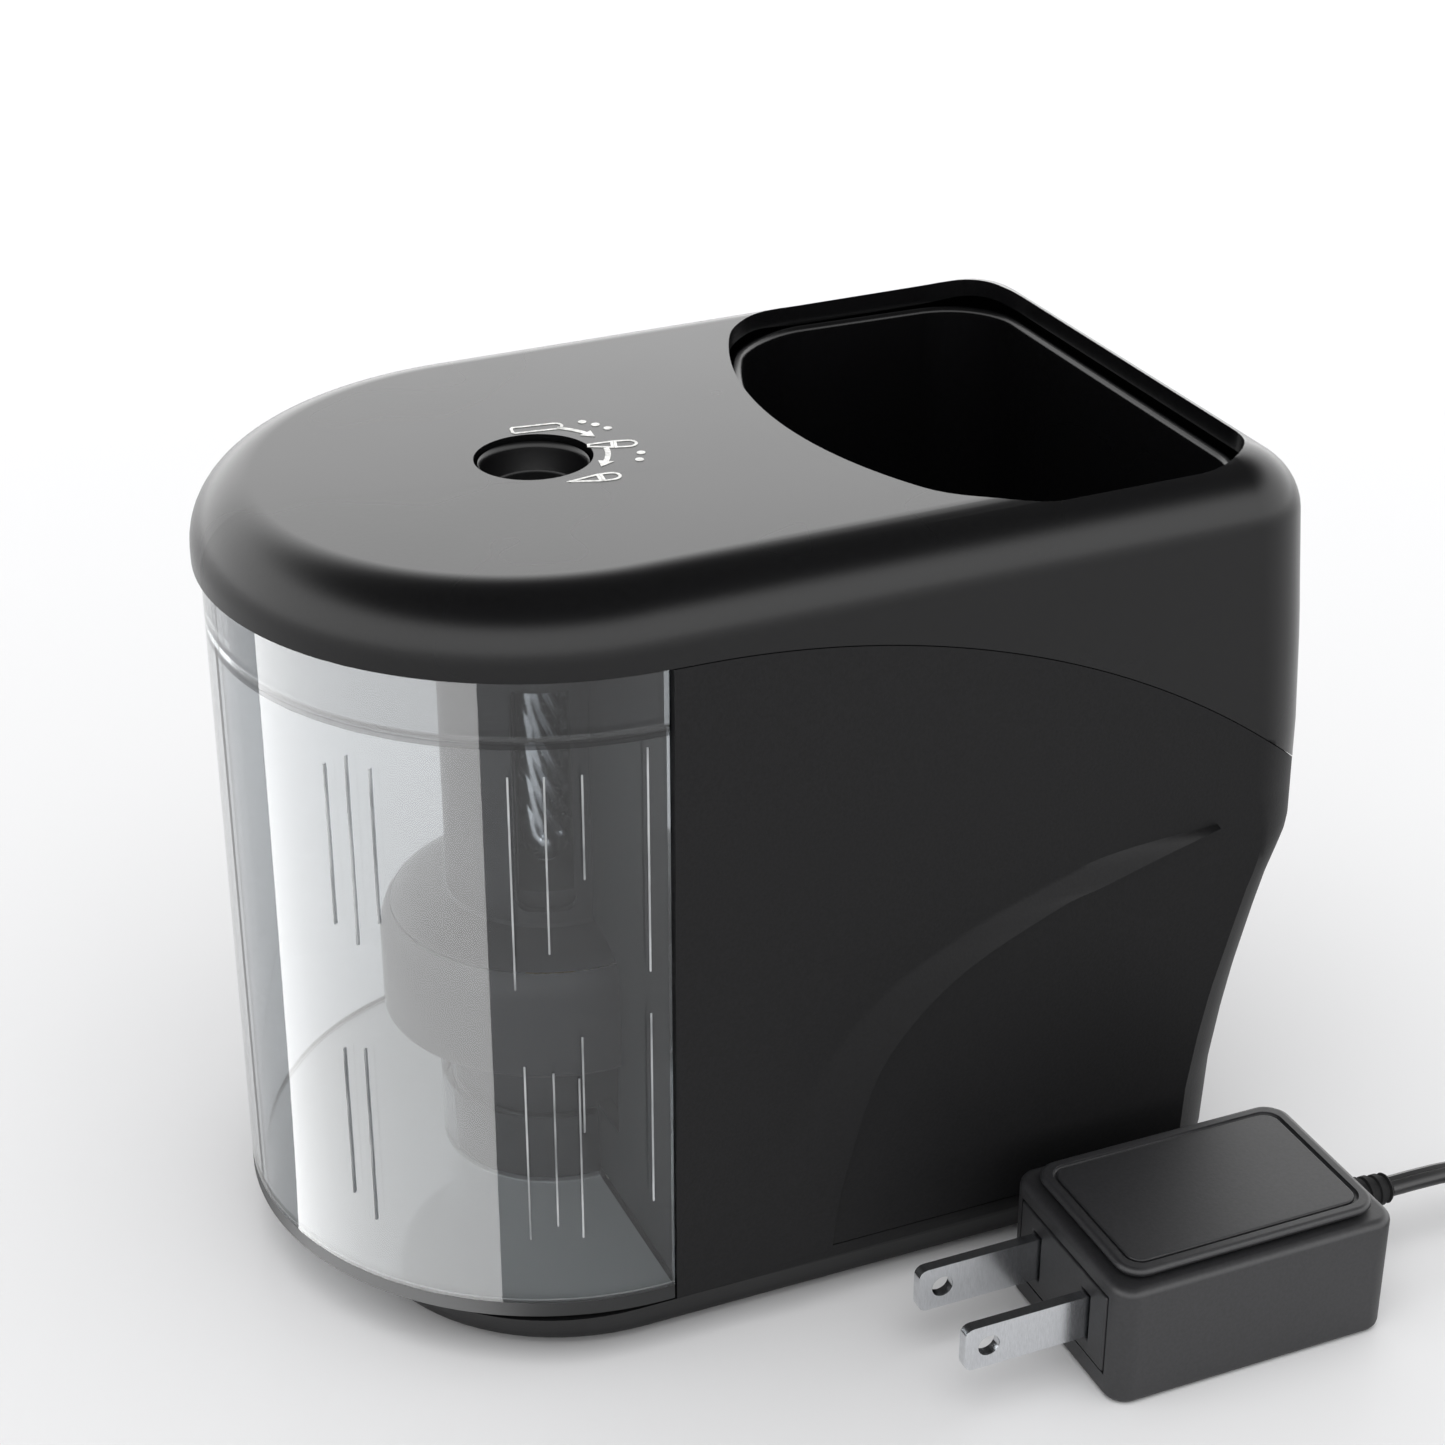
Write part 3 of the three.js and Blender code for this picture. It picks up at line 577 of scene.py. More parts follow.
def cap_form(name, inset, low):
    piece = plate(name, (inset - 43, inset - 43), (REAR_X - inset, 43 - inset), low, 42.99 - inset,
                  CORNER_R - inset, 36)
    raise_face(piece, CAP_LEVELS + [108.2 - inset])
    top = (108.2 - inset) * MM
    pick(piece, "EDGE", lambda edge: all(piece.data.vertices[i].co.z > top - 1e-5 for i in edge.vertices))
    bpy.ops.mesh.bevel(offset=(CAP_EDGE - inset) * MM, segments=12, profile=0.5, affect="EDGES",
                       clamp_overlap=False)
    done()
    reshape(piece, cap_rule)
    return piece


cap = cap_form("cap_moulding", 0, 58)
combine(cap, "DIFFERENCE", cap_form("cap_inside", SHELL_WALL, 50))


def cup_form(name, inset, low, high):
    """The cup's outline as a block: a bowed front edge, softly rounded into the two sides."""
    piece = plate(name, (32.3 + inset, inset - 38.5), (84 - inset, 38.5 - inset), low, 9 - inset * 0.6,
                  11 - inset, 10)
    front_x = 32.3 + inset
    pick(piece, "EDGE", lambda edge: all(place_of(piece.data.vertices[i])[0] < front_x + 0.01
                                         for i in edge.vertices))
    bpy.ops.mesh.subdivide(number_cuts=40)
    done()
    raise_face(piece, [high])
    reach = 65 - inset
    reshape(piece, lambda x, y, z: (x + (reach - math.sqrt(reach ** 2 - y ** 2) if x < 42 else 0), y, z))
    return piece


combine(cap, "DIFFERENCE", seam_block(arch_seam), cup_form("cup_hole", 0, 50, 130),
        turned("pencil_hole", [(0, 90), (7.5, 90), (7.5, 120), (0, 120)], 72))


def on_cup_rim(edge):
    a, b = [place_of(cap.data.vertices[i]) for i in edge.vertices]
    faces = rim_faces.get(tuple(sorted(edge.vertices)), [])
    if len(faces) != 2 or min(a[0], b[0]) < 31 or max(a[0], b[0]) > 84.2 or max(abs(a[1]), abs(b[1])) > 38.7:
        return False
    normals = [cap.data.polygons[i].normal for i in faces]
    return max(n.z for n in normals) > 0.5 and min(abs(n.z) for n in normals) < 0.1


rim_faces = {}
for face in cap.data.polygons:
    for key in face.edge_keys:
        rim_faces.setdefault(tuple(sorted(key)), []).append(face.index)
pick(cap, "EDGE", on_cup_rim)
bpy.ops.mesh.bevel(offset=0.9 * MM, segments=4, affect="EDGES", clamp_overlap=True)
done()
soften(cap, 0.25, 2, 50, 30)
put(cap, "housing", "gloss_black", gloss_abs, "top_cap")

# ---- Inlet bush: a gloss ABS ring pressed up into the cap's hole, with a ledge that the pencil passes.
bush = turned("inlet_ring", [(4.6, 98), (7.1, 98), (7.1, 102.6), (9.5, 102.6), (9.5, 105), (7.2, 105), (7.2, 107.7),
                             (7.0, 107.95), (6.8, 107.8), (6.6, 107.2), (6.5, 104.2), (6.2, 103.8), (4.9, 103.2),
                             (4.6, 102.9), (4.6, 98)], 72)
smooth(bush, 40)
put(bush, "housing", "gloss_black", gloss_abs, "inlet_bush")

# ---- Pencil cup: a deep gloss ABS liner hung inside the cap's opening, with a rounded floor.
cup = cup_form("cup_liner", GAP, 26, 106)
pick(cup, "FACE", lambda face: face.center.z > 105.9 * MM)
bpy.ops.mesh.inset(thickness=1.6 * MM, depth=0)
bpy.ops.mesh.extrude_region_move(TRANSFORM_OT_translate={"value": (0, 0, -78 * MM)})
bpy.ops.mesh.select_all(action="SELECT")
bpy.ops.mesh.normals_make_consistent(inside=False)
done()
soften(cup, 0.6, 3, 60, 35)
put(cup, "housing", "gloss_black", gloss_abs, "pencil_cup")

# ---- Printed guide beside the hole: a blunt, a half-sharp and a sharp pencil with arrows between them, and
# dots that count how sharp the point gets. Thin white pad print, each mark a plate with a real outline.
white_ink, ink_shader = new_material("white_pad_print")     # an even film that lets a little black through
ink_shader.inputs["Roughness"].default_value = 0.55
ink_where = add_node(white_ink, "ShaderNodeTexCoord").outputs["Object"]
ink_film = add_node(white_ink, "ShaderNodeTexNoise", {"Scale": 1400.0, "Detail": 2.0}, Vector=ink_where)
ink_tone = add_node(white_ink, "ShaderNodeValToRGB", Fac=ink_film.outputs["Fac"])
ink_tone.color_ramp.elements[0].position, ink_tone.color_ramp.elements[0].color = 0.3, linear("#c4c4c2")
ink_tone.color_ramp.elements[1].position, ink_tone.color_ramp.elements[1].color = 0.6, linear("#f4f4f1")
white_ink.node_tree.links.new(ink_tone.outputs["Color"], ink_shader.inputs["Base Color"])
PRINT_LINE = 0.38                                # stroke width, mm


def cap_top(x):
    return cap_rule(x, 0, 108.2)[2]


def printed(name, outline, framed):
    """A flat mark from its outline in mm on the cap's top, solid or as a line frame, 0.05 mm thick."""
    mesh = bpy.data.meshes.new(name)
    mesh.from_pydata([at(x, y, cap_top(x) + 0.02) for x, y in outline], [], [list(range(len(outline)))])
    piece = bpy.data.objects.new(name, mesh)
    bpy.context.scene.collection.objects.link(piece)
    pick(piece, "FACE", lambda face: True)
    if framed:
        bpy.ops.mesh.inset(thickness=PRINT_LINE * MM, depth=0)
        bpy.ops.mesh.delete(type="FACE")
        bpy.ops.mesh.select_all(action="SELECT")
    bpy.ops.mesh.normals_make_consistent(inside=False)
    done()
    if mesh.polygons[0].normal.z < 0:
        mesh.flip_normals()
    use(piece, "SOLIDIFY", thickness=0.05 * MM, offset=1)
    return piece


def turned_outline(points, centre, degrees):
    a = math.radians(degrees)
    return [(centre[0] + x * math.cos(a) - y * math.sin(a), centre[1] + x * math.sin(a) + y * math.cos(a))
            for x, y in points]


def round_end(x, half, steps=8):
    return [(x + half * math.cos(a), half * math.sin(a))
            for a in [math.radians(-90 + 180 * i / steps) for i in range(steps + 1)]]


marks = []
marks.append(printed("print_blunt", turned_outline(
    [(-3.4, 0.7), (-3.1, 1.15)] + [(2.3 + x, y) for x, y in round_end(0, 1.15)][::-1] + [(-3.1, -1.15), (-3.4, -0.7)],
    (3.6, 8.7), -9), True))
for name, tip, length, degrees, half in (("half", (7.3, 0.4), 6.4, -17, 1.2), ("sharp", (0.9, -9.4), 6.9, -7, 1.25)):
    cone = length * (0.52 if name == "half" else 0.62)
    blunt = 0.5 if name == "half" else 0.08
    marks.append(printed(f"print_{name}_point", turned_outline(
        [(0, blunt), (0, -blunt), (cone, -half), (cone, half)], tip, degrees), True))
    marks.append(printed(f"print_{name}_body", turned_outline(
        [(cone + 0.05, -half)] + [(length - half + x, y) for x, y in round_end(0, half)] + [(cone + 0.05, half)],
        tip, degrees), True))
for name, radius, start, stop in (("first", 9.7, 52, 17), ("second", 9.3, -8, -46)):
    arc = [math.radians(start + (stop - start) * i / 10) for i in range(11)]
    shaft = [(radius + 0.35) for _ in arc[:8]]
    outer = [(r * math.cos(a), r * math.sin(a)) for r, a in zip(shaft, arc)]
    inner = [((radius - 0.35) * math.cos(a), (radius - 0.35) * math.sin(a)) for a in arc[:8]]
    head_a, tip_a = arc[7], arc[10]
    head = [((radius + 1) * math.cos(head_a), (radius + 1) * math.sin(head_a)),
            (radius * math.cos(tip_a), radius * math.sin(tip_a)),
            ((radius - 1) * math.cos(head_a), (radius - 1) * math.sin(head_a))]
    marks.append(printed(f"print_arrow_{name}", outer + head + inner[::-1], False))
for i, (x, y) in enumerate([(9.6, 8.2), (10.8, 6.6), (11.8, 4.8), (12.6, -4.6), (11.6, -6.6)]):
    marks.append(printed(f"print_dot_{i + 1}", turned_outline(
        [(0.55 * math.cos(2 * math.pi * k / 16), 0.55 * math.sin(2 * math.pi * k / 16)) for k in range(16)],
        (x, y), 0), False))
for mark in marks:
    mark.data.materials.append(white_ink)
    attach(mark, "housing")

# ---- Chassis: the dark frame seen through the bin. A bulkhead closes the body, and from it stand the
# gearbox drum and the cutter tower, whose window shows the helical cutter.
dark_abs = moulded("dark_abs_frame", "#2a2a2c", 0.42, 0.5, 0.04, 0.4)
CUTTER_AZIMUTH = math.radians(-110)
frame_part = turned("mechanism_frame", [
    (0, 31.4), (22.3, 31.4), (22.6, 31.7), (22.6, 43), (22.3, 44.3), (21.9, 45.4), (21.2, 46.5), (20.2, 47.3),
    (19.1, 47.95), (17.8, 48.4), (15.8, 48.75), (13.9, 48.9), (13.5, 49.3), (13.5, 92.7), (13.2, 93), (0, 93)], 96)
combine(frame_part, "UNION", block("bulkhead", (1.5, -39.2, 9.9), (3.5, 39.2, 97.6)))
combine(frame_part, "DIFFERENCE", turned("inside_drum", [(0, 20), (21.2, 20), (21.2, 46.6), (0, 46.6)], 96),
        turned("inside_tower", [(0, 48.8), (12.2, 48.8), (12.2, 120), (0, 120)], 96),
        turned("shaft_way", [(0, 40), (5.6, 40), (5.6, 60), (0, 60)], 48))
window = block("window", (8, -3.9, 51), (20, 3.9, 83.5))
laid(window, (0, 0, 0), Matrix.Rotation(CUTTER_AZIMUTH, 4, "Z"))
pick(window, "EDGE", lambda edge: abs(window.data.vertices[edge.vertices[0]].co.z
                                      - window.data.vertices[edge.vertices[1]].co.z) < 1e-6
     and (window.data.vertices[edge.vertices[0]].co - window.data.vertices[edge.vertices[1]].co).length > 9 * MM)
bpy.ops.mesh.bevel(offset=1.6 * MM, segments=5, affect="EDGES")
done()
switch_way = turned("switch_way", [(0, -5), (1.6, -5), (1.6, 5), (0, 5)], 24)
laid(switch_way, (2.5, 31, 18), ALONG_X)
combine(frame_part, "DIFFERENCE", window, switch_way)
soften(frame_part, 0.25, 2, 50, 35)
put(frame_part, "housing", "dark_plastic", dark_abs, "chassis")

# ---- Motor shroud: a thin dark ABS sleeve round the motor, low in the bin's notch.
shroud = turned("motor_sleeve", [(12.4, 7.7), (12.6, 7.5), (13.2, 7.5), (13.4, 7.7), (13.4, 30.9), (13.2, 31.1),
                                 (12.6, 31.1), (12.4, 30.9), (12.4, 7.7)], 72)
smooth(shroud, 35)
put(shroud, "housing", "dark_plastic", dark_abs, "motor_shroud")

# ---- Shavings bin: injection-moulded clear styrene, slightly smoky, half round, open at the top and at the
# back. A thicker band runs round its mouth, slim ribs stand on its wall, and its floor is notched for the motor.
BIN_R = 42                                       # mm, like all sizes here
BIN_WALL = 1.6
BIN_LOW, BIN_FLOOR, BIN_TOP = 7.7, 9.5, 98.1     # underside, top of the floor, and mouth
FOOT_TOP = 9.8                                   # how high the painted dark reflection on the wall's foot reaches
RIB_HALF = 0.13


def half_round(name, radius, end, low, high, steps=44):
    piece = plate(name, (-radius, -radius), (end, radius), low, radius * 0.9998, 0, steps)
    raise_face(piece, [high])
    return piece


bin_wall = half_round("clear_bin", BIN_R, JOIN_X, BIN_LOW, BIN_TOP)
combine(bin_wall, "DIFFERENCE", half_round("bin_inside", BIN_R - BIN_WALL, 9, BIN_FLOOR, 90),
        half_round("bin_mouth", BIN_R - BIN_WALL - 1.1, 9, 89, 120))
notch = turned("notch", [(0, 8.1), (15.4, 8.1), (15.4, 20), (0, 20)], 72)
combine(notch, "DIFFERENCE", block("beyond", (JOIN_X, -30, 0), (30, 30, 40)))
combine(bin_wall, "UNION", notch, block("switch_pad", (-1.3, 27, 8.1), (JOIN_X, 35, 26)))
combine(bin_wall, "DIFFERENCE", turned("motor_way", [(0, 0), (14, 0), (14, 40), (0, 40)], 72),
        block("motor_way_back", (0, -14, 0), (9, 14, 40)))
# ribs: azimuth in degrees, then the lowest and highest point of each stretch
RIBS = [(-147, 62, 84), (-142.5, 60, 86), (-138, 64, 85), (-115, 57, 86), (-109.25, 62, 86), (-103.25, 72, 86),
        (-92.6, 58, 88.5), (-147, 22, 44), (-142.5, 19, 45), (-114, 20, 46), (-109.25, 22, 45), (-105, 20, 44),
        (-104.3, 36, 50), (-92.6, 24, 52)]
ribs = []
for azimuth, low, high in RIBS:
    rib = block("rib", (BIN_R + 0.02, -RIB_HALF, low), (BIN_R + 0.24, RIB_HALF, high))
    ribs.append(laid(rib, (0, 0, 0), Matrix.Rotation(math.radians(azimuth), 4, "Z")))
deselect_all()
for rib in ribs:
    rib.select_set(True)
bpy.context.view_layer.objects.active = ribs[0]
bpy.ops.object.join()
bin_ribs = ribs[0]
bin_ribs.name = bin_ribs.data.name = "bin_ribs"
soften(bin_ribs, 0.06, 2)
rib_painted_glint, edge_shader = new_material("clear_styrene_edge")      # a sharp clear edge gathers light and reads pale: that light is a painted highlight in the ribs' pale colour
edge_shader.inputs["Roughness"].default_value = 0.25
edge_shader.inputs["Transmission Weight"].default_value = 0.35
edge_where = add_node(rib_painted_glint, "ShaderNodeTexCoord").outputs["Object"]
edge_break = add_node(rib_painted_glint, "ShaderNodeTexNoise", {"Scale": 90.0}, Vector=edge_where)
edge_tone = add_node(rib_painted_glint, "ShaderNodeValToRGB", Fac=edge_break.outputs["Fac"])
edge_tone.color_ramp.elements[0].position, edge_tone.color_ramp.elements[0].color = 0.35, linear("#8f9294")
edge_tone.color_ramp.elements[1].position, edge_tone.color_ramp.elements[1].color = 0.6, linear("#d8dadb")
rib_painted_glint.node_tree.links.new(edge_tone.outputs["Color"], edge_shader.inputs["Base Color"])
bin_ribs.data.materials.clear()
bin_ribs.data.materials.append(rib_painted_glint)
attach(bin_ribs, "bin")
soften(bin_wall, 0.12, 1, 60, 25)
styrene, clear = new_material("clear_styrene_moulded")  # bright and hard, greyer where the wall thickens: that grey is painted shade in its colour
clear.inputs["IOR"].default_value = 1.5
bin_where = add_node(styrene, "ShaderNodeTexCoord").outputs["Object"]
bin_height = add_node(styrene, "ShaderNodeSeparateXYZ", Vector=bin_where)
bin_share = add_node(styrene, "ShaderNodeMapRange", {"From Min": 0.0, "From Max": 0.1},
                     Value=bin_height.outputs["Z"])
# tones by height, as a share of 0.1 m: the finely frosted floor, the wall, a painted dark line of shade under the
# band, the band greyed with painted shade
BIN_TONES = [(0.0, linear("#d8dadb")), (0.097, linear("#cfd2d4")), (0.894, linear("#4a4c4e")),
             (0.9, linear("#a9acae"))]
BIN_CLEARNESS = [(0.0, (0.4, 0.4, 0.4, 1)), (0.097, (1, 1, 1, 1))]
smoke_and_painted_shade = add_node(styrene, "ShaderNodeValToRGB", Fac=bin_share.outputs["Result"])
clearness = add_node(styrene, "ShaderNodeValToRGB", Fac=bin_share.outputs["Result"])
for ramp, bands in ((smoke_and_painted_shade, BIN_TONES), (clearness, BIN_CLEARNESS)):
    ramp.color_ramp.interpolation = "CONSTANT"
    for place, colour in bands:
        spot = ramp.color_ramp.elements[0] if place == 0 else ramp.color_ramp.elements.new(place)
        spot.position, spot.color = place, colour
    ramp.color_ramp.elements.remove(ramp.color_ramp.elements[-1])
# the wall's foot, edge on, gathers the dark of the base below it: that dark reflection is painted on as a thin dark
# line
centred = add_node(styrene, "ShaderNodeMapping", {"Location": -at(0, 0, 0), "Scale": (1, 1, 0)}, Vector=bin_where)
from_axis = add_node(styrene, "ShaderNodeVectorMath", {"operation": "LENGTH"}, Vector=centred.outputs["Vector"])
at_wall = add_node(styrene, "ShaderNodeMath", {"operation": "GREATER_THAN"}, Value=from_axis.outputs["Value"])
at_wall.inputs[1].default_value = (BIN_R - 1.4) * MM
low_down = add_node(styrene, "ShaderNodeMath", {"operation": "LESS_THAN"}, Value=bin_height.outputs["Z"])
low_down.inputs[1].default_value = FOOT_TOP * MM
foot = add_node(styrene, "ShaderNodeMath", {"operation": "MULTIPLY"}, Value=at_wall.outputs["Value"])
styrene.node_tree.links.new(low_down.outputs["Value"], foot.inputs[1])
bin_tone = add_node(styrene, "ShaderNodeMix", {"data_type": "RGBA"})
bin_tone.inputs[7].default_value = linear("#161718")
styrene.node_tree.links.new(foot.outputs["Value"], bin_tone.inputs[0])
styrene.node_tree.links.new(smoke_and_painted_shade.outputs["Color"], bin_tone.inputs[6])
styrene.node_tree.links.new(bin_tone.outputs[2], clear.inputs["Base Color"])
foot_roughness = add_node(styrene, "ShaderNodeMath", {"operation": "MULTIPLY_ADD"}, Value=foot.outputs["Value"])
foot_roughness.inputs[1].default_value, foot_roughness.inputs[2].default_value = 0.67, 0.03
styrene.node_tree.links.new(foot_roughness.outputs["Value"], clear.inputs["Roughness"])
see_through = add_node(styrene, "ShaderNodeMath", {"operation": "SUBTRACT", "use_clamp": True},
                       Value=clearness.outputs["Color"])
styrene.node_tree.links.new(foot.outputs["Value"], see_through.inputs[1])
styrene.node_tree.links.new(see_through.outputs["Value"], clear.inputs["Transmission Weight"])
put(bin_wall, "bin", "clear_plastic", styrene, "shavings_bin")

# a bright card lying left of the bin, which only the bin's gloss picks up: a pale veil with an upright edge
VEIL_EDGE = math.radians(-119.5)                 # where on the round wall the veil ends
card_way = Vector((-0.651, -0.759, 0))           # the way that the wall's gloss looks at that edge
card_side = Vector((-0.759, 0.651, 0))
CARD = 0.34
CARD_START = 7                                   # mm: how far before the edge the card begins
CARD_HEIGHT = 0.4
card = bpy.data.objects.new("card", bpy.data.lights.new("card", "AREA"))
bpy.context.scene.collection.objects.link(card)
card.data.shape = "SQUARE"
card.data.size = CARD
card.data.energy = 2.0
card.location = (at(BIN_R * math.cos(VEIL_EDGE), BIN_R * math.sin(VEIL_EDGE), CARD_HEIGHT)
                 + card_way * (CARD / 2 - CARD_START * MM) + card_side * CARD / 2)
card.rotation_euler = (math.pi, 0, math.atan2(card_way.y, card_way.x))
card.visible_camera = card.visible_diffuse = card.visible_transmission = False
bin_only = bpy.data.collections.new("bin_only")
bin_only.objects.link(bin_wall)
card.light_linking.receiver_collection = bin_only

# ---- Cutter head: a dark carrier that turns about the pencil. In it leans a helical cutter of bright
# hardened steel, its flutes ground in one long twist, driven round a brass ring by its own small pinion.
carrier = turned("cutter_carrier", [(0, 38.4), (3.3, 38.4), (3.3, 50), (11.1, 50), (11.4, 50.3), (11.4, 84),
                                    (11.1, 84.3), (0, 84.3)], 80)
combine(carrier, "DIFFERENCE", turned("pencil_cone", [(0, 54), (0.9, 54), (4.7, 84), (5.2, 90), (0, 90)], 48))
CUTTER_LOW, CUTTER_HIGH = (3.6, 56), (7.714, 88)  # radius and height of two points on the cutter's axis
lean = math.atan2(CUTTER_HIGH[0] - CUTTER_LOW[0], CUTTER_HIGH[1] - CUTTER_LOW[1])
seat = (Matrix.Translation(at(CUTTER_LOW[0] * math.cos(CUTTER_AZIMUTH), CUTTER_LOW[0] * math.sin(CUTTER_AZIMUTH),
                              CUTTER_LOW[1]))
        @ Matrix.Rotation(CUTTER_AZIMUTH, 4, "Z") @ Matrix.Rotation(lean, 4, "Y") @ Matrix.Translation(-at(0, 0, 0)))


def seated(piece):
    piece.data.transform(seat)
    return piece


combine(carrier, "DIFFERENCE", seated(turned("cutter_way", [(0, -2.1), (3.8, -2.1), (3.8, 26.6), (0, 26.6)], 48)),
        seated(turned("shaft_way", [(0, -4.6), (1.5, -4.6), (1.5, 34), (0, 34)], 32)),
        seated(block("mouth", (0, -3.6, -2.1), (14, 3.6, 26.6))))
soften(carrier, 0.2, 2, 50, 35)
put(carrier, "cutter_head", "dark_plastic", dark_abs, "carrier")

FLUTES = 8
CUTTER_TWIST = math.radians(-250)
CUTTER_LENGTH = 27.4
CUTTER_STEPS = 60
deselect_all()
bpy.ops.mesh.primitive_circle_add(vertices=FLUTES * 8, radius=3.3 * MM, fill_type="NGON", location=at(0, 0, -1.4))
bpy.ops.object.transform_apply()
helix = bpy.context.object
helix.name = helix.data.name = "helical_mill"


def fluted(x, y, z):
    """The ground section: each tooth a sharp lip, a land falling behind it, then the flute."""
    share = (math.atan2(y, x) / (2 * math.pi) * FLUTES) % 1
    depth = (0.0, 0.1, 0.2, 0.34, 0.55, 0.85, 1.05, 0.9)[int(share * 8 + 0.5) % 8]
    journal = eased((4.2 - (z + 1.4)) / 0.8)     # plain at its lower end
    r = 3.3 - depth * (1 - journal) - 0.25 * journal - 0.9 * eased((1.6 - (z + 1.4)) / 1.6)
    size = math.hypot(x, y)
    return x * r / size, y * r / size, z


pick(helix, "FACE", lambda face: True)
for _ in range(CUTTER_STEPS):
    bpy.ops.mesh.extrude_region_move(TRANSFORM_OT_translate={"value": (0, 0, CUTTER_LENGTH / CUTTER_STEPS * MM)})
bpy.ops.mesh.select_all(action="SELECT")
bpy.ops.mesh.normals_make_consistent(inside=False)
done()
reshape(helix, fluted)


def twisted(x, y, z):
    a = CUTTER_TWIST * (z + 1.4) / CUTTER_LENGTH
    return x * math.cos(a) - y * math.sin(a), x * math.sin(a) + y * math.cos(a), z


reshape(helix, twisted)
combine(helix, "DIFFERENCE", turned("bore", [(0, -5), (1.25, -5), (1.25, 40), (0, 40)], 32))
seated(helix)
smooth(helix, 28)


def metal(name, colour, roughness, grain_mm, grain_depth, brushed=(1, 1, 1)):
    """A metal whose finishing left fine lines or grain, stretched where it was brushed."""
    material, shader = new_material(name)
    shader.inputs["Metallic"].default_value = 1.0
    where = add_node(material, "ShaderNodeTexCoord").outputs["Object"]
    stretch = add_node(material, "ShaderNodeMapping", {"Scale": brushed}, Vector=where)
    grain = add_node(material, "ShaderNodeTexNoise", {"Scale": 1000 / grain_mm, "Detail": 3.0},
                     Vector=stretch.outputs["Vector"])
    gloss = add_node(material, "ShaderNodeMapRange", {"To Min": roughness * 0.7, "To Max": roughness * 1.35},
                     Value=grain.outputs["Fac"])
    base = linear(colour)
    tone = add_node(material, "ShaderNodeValToRGB", Fac=grain.outputs["Fac"])
    worn = [c * 0.82 for c in base[:3]] + [1]
    tone.color_ramp.elements[0].position, tone.color_ramp.elements[0].color = 0.3, worn
    tone.color_ramp.elements[1].position, tone.color_ramp.elements[1].color = 0.7, base
    bump = add_node(material, "ShaderNodeBump", {"Strength": 0.3, "Distance": grain_depth * MM},
                    Height=grain.outputs["Fac"])
    material.node_tree.links.new(tone.outputs["Color"], shader.inputs["Base Color"])
    material.node_tree.links.new(gloss.outputs["Result"], shader.inputs["Roughness"])
    material.node_tree.links.new(bump.outputs["Normal"], shader.inputs["Normal"])
    return material


ground_steel = metal("hardened_steel_ground", "#dcdee1", 0.24, 0.5, 0.006, (1, 1, 6))
put(helix, "cutter", "bright_steel", ground_steel, "helical_cutter")

# ---- Works inside the body: the CAD's own gears, motor, switches and board, each with its own finish.
zinc = metal("zinc_plated_steel", "#a9acb0", 0.36, 1.2, 0.01)
yellow_brass = metal("turned_brass", "#c8a44f", 0.3, 0.8, 0.008, (1, 1, 5))
acetal = moulded("white_acetal_moulded", "#e3e1d9", 0.42, 0.8, 0.02, 0.5)
laminate = moulded("green_board_laminate", "#1c5534", 0.5, 1.1, 0.03, 0.5)
rubber = moulded("black_rubber_matt", "#19191a", 0.78, 0.35, 0.05, 0.3, 0.05)
FINISHES = {
    zinc: ["gearbox_plate", "motor_can", "case_screw_1", "case_screw_2", "case_screw_3", "case_screw_4",
           "cutter_shaft"],
    ground_steel: ["motor_shaft", "countershaft", "lever_pin"],
    yellow_brass: ["motor_pinion", "carrier_bush", "ring_gear", "planet_gear"],
    acetal: ["motor_end_cap", "compound_gear", "output_gear", "bin_switch_plunger", "start_lever"],
    dark_abs: ["bin_switch", "lever_bracket", "start_switch", "dc_jack"],
    laminate: ["control_board", "adapter_board"],
    rubber: ["foot_1", "foot_2", "foot_3", "foot_4"],
}
for material, names in FINISHES.items():
    for name in names:
        for material_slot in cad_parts[name].material_slots:
            material_slot.material = material

# ---- Power adapter: a satin ABS box in two halves, its raised lid panel set off by a groove, with a small
# face plate round two plated blades and a ribbed rubber relief for the lead.
ADAPTER_LOW, ADAPTER_HIGH = (46.8, -75.6), (87.8, -47.1)
CASE_TOP = 17.8
LEAD_Y, LEAD_Z = -60.6, 9.7
satin_case = moulded("satin_abs_adapter", "#222224", 0.5, 0.5, 0.035, 0.6)


def rounded_box(name, low, high, corner, edge, corner_steps=8, edge_steps=4):
    """A box with rounded upright corners, then its upper and lower edges rounded."""
    piece = plate(name, low[:2], high[:2], low[2], corner, corner, corner_steps)
    raise_face(piece, [high[2]])
    ends = (low[2] * MM, high[2] * MM)
    pick(piece, "EDGE", lambda edge_: any(all(abs(piece.data.vertices[i].co.z - z) < 1e-6 for i in edge_.vertices)
                                          for z in ends))
    bpy.ops.mesh.bevel(offset=edge * MM, segments=edge_steps, affect="EDGES", clamp_overlap=False)
    done()
    return piece


case = rounded_box("adapter_body", (*ADAPTER_LOW, 0), (*ADAPTER_HIGH, CASE_TOP), 3, 1.1)
x0, y0 = ADAPTER_LOW
x1, y1 = ADAPTER_HIGH
combine(case, "DIFFERENCE",
        block("inside", (x0 + 2.2, y0 + 2.2, 2), (x1 - 2.2, y1 - 2.2, CASE_TOP - 2)),
        block("lid_way", (x0 + 3.4, y0 + 3.4, CASE_TOP - 3), (x1 - 3.4, y1 - 3.4, 30)),
        block("face_seat", (x0 - 1, y0 + 3, 3.4), (x0 + 1.4, y1 - 3, 15.6)),
        block("face_way", (x0 - 1, y0 + 5, 5.4), (x0 + 4, y1 - 5, 13.6)))
combine(case, "DIFFERENCE", laid(turned("relief_hole", [(0, -6), (2.1, -6), (2.1, 6), (0, 6)], 32),
                                 (x1, LEAD_Y, LEAD_Z), ALONG_X))
soften(case, 0.25, 2, 50, 35)
put(case, "housing", "satin_black", satin_case, "adapter_case")

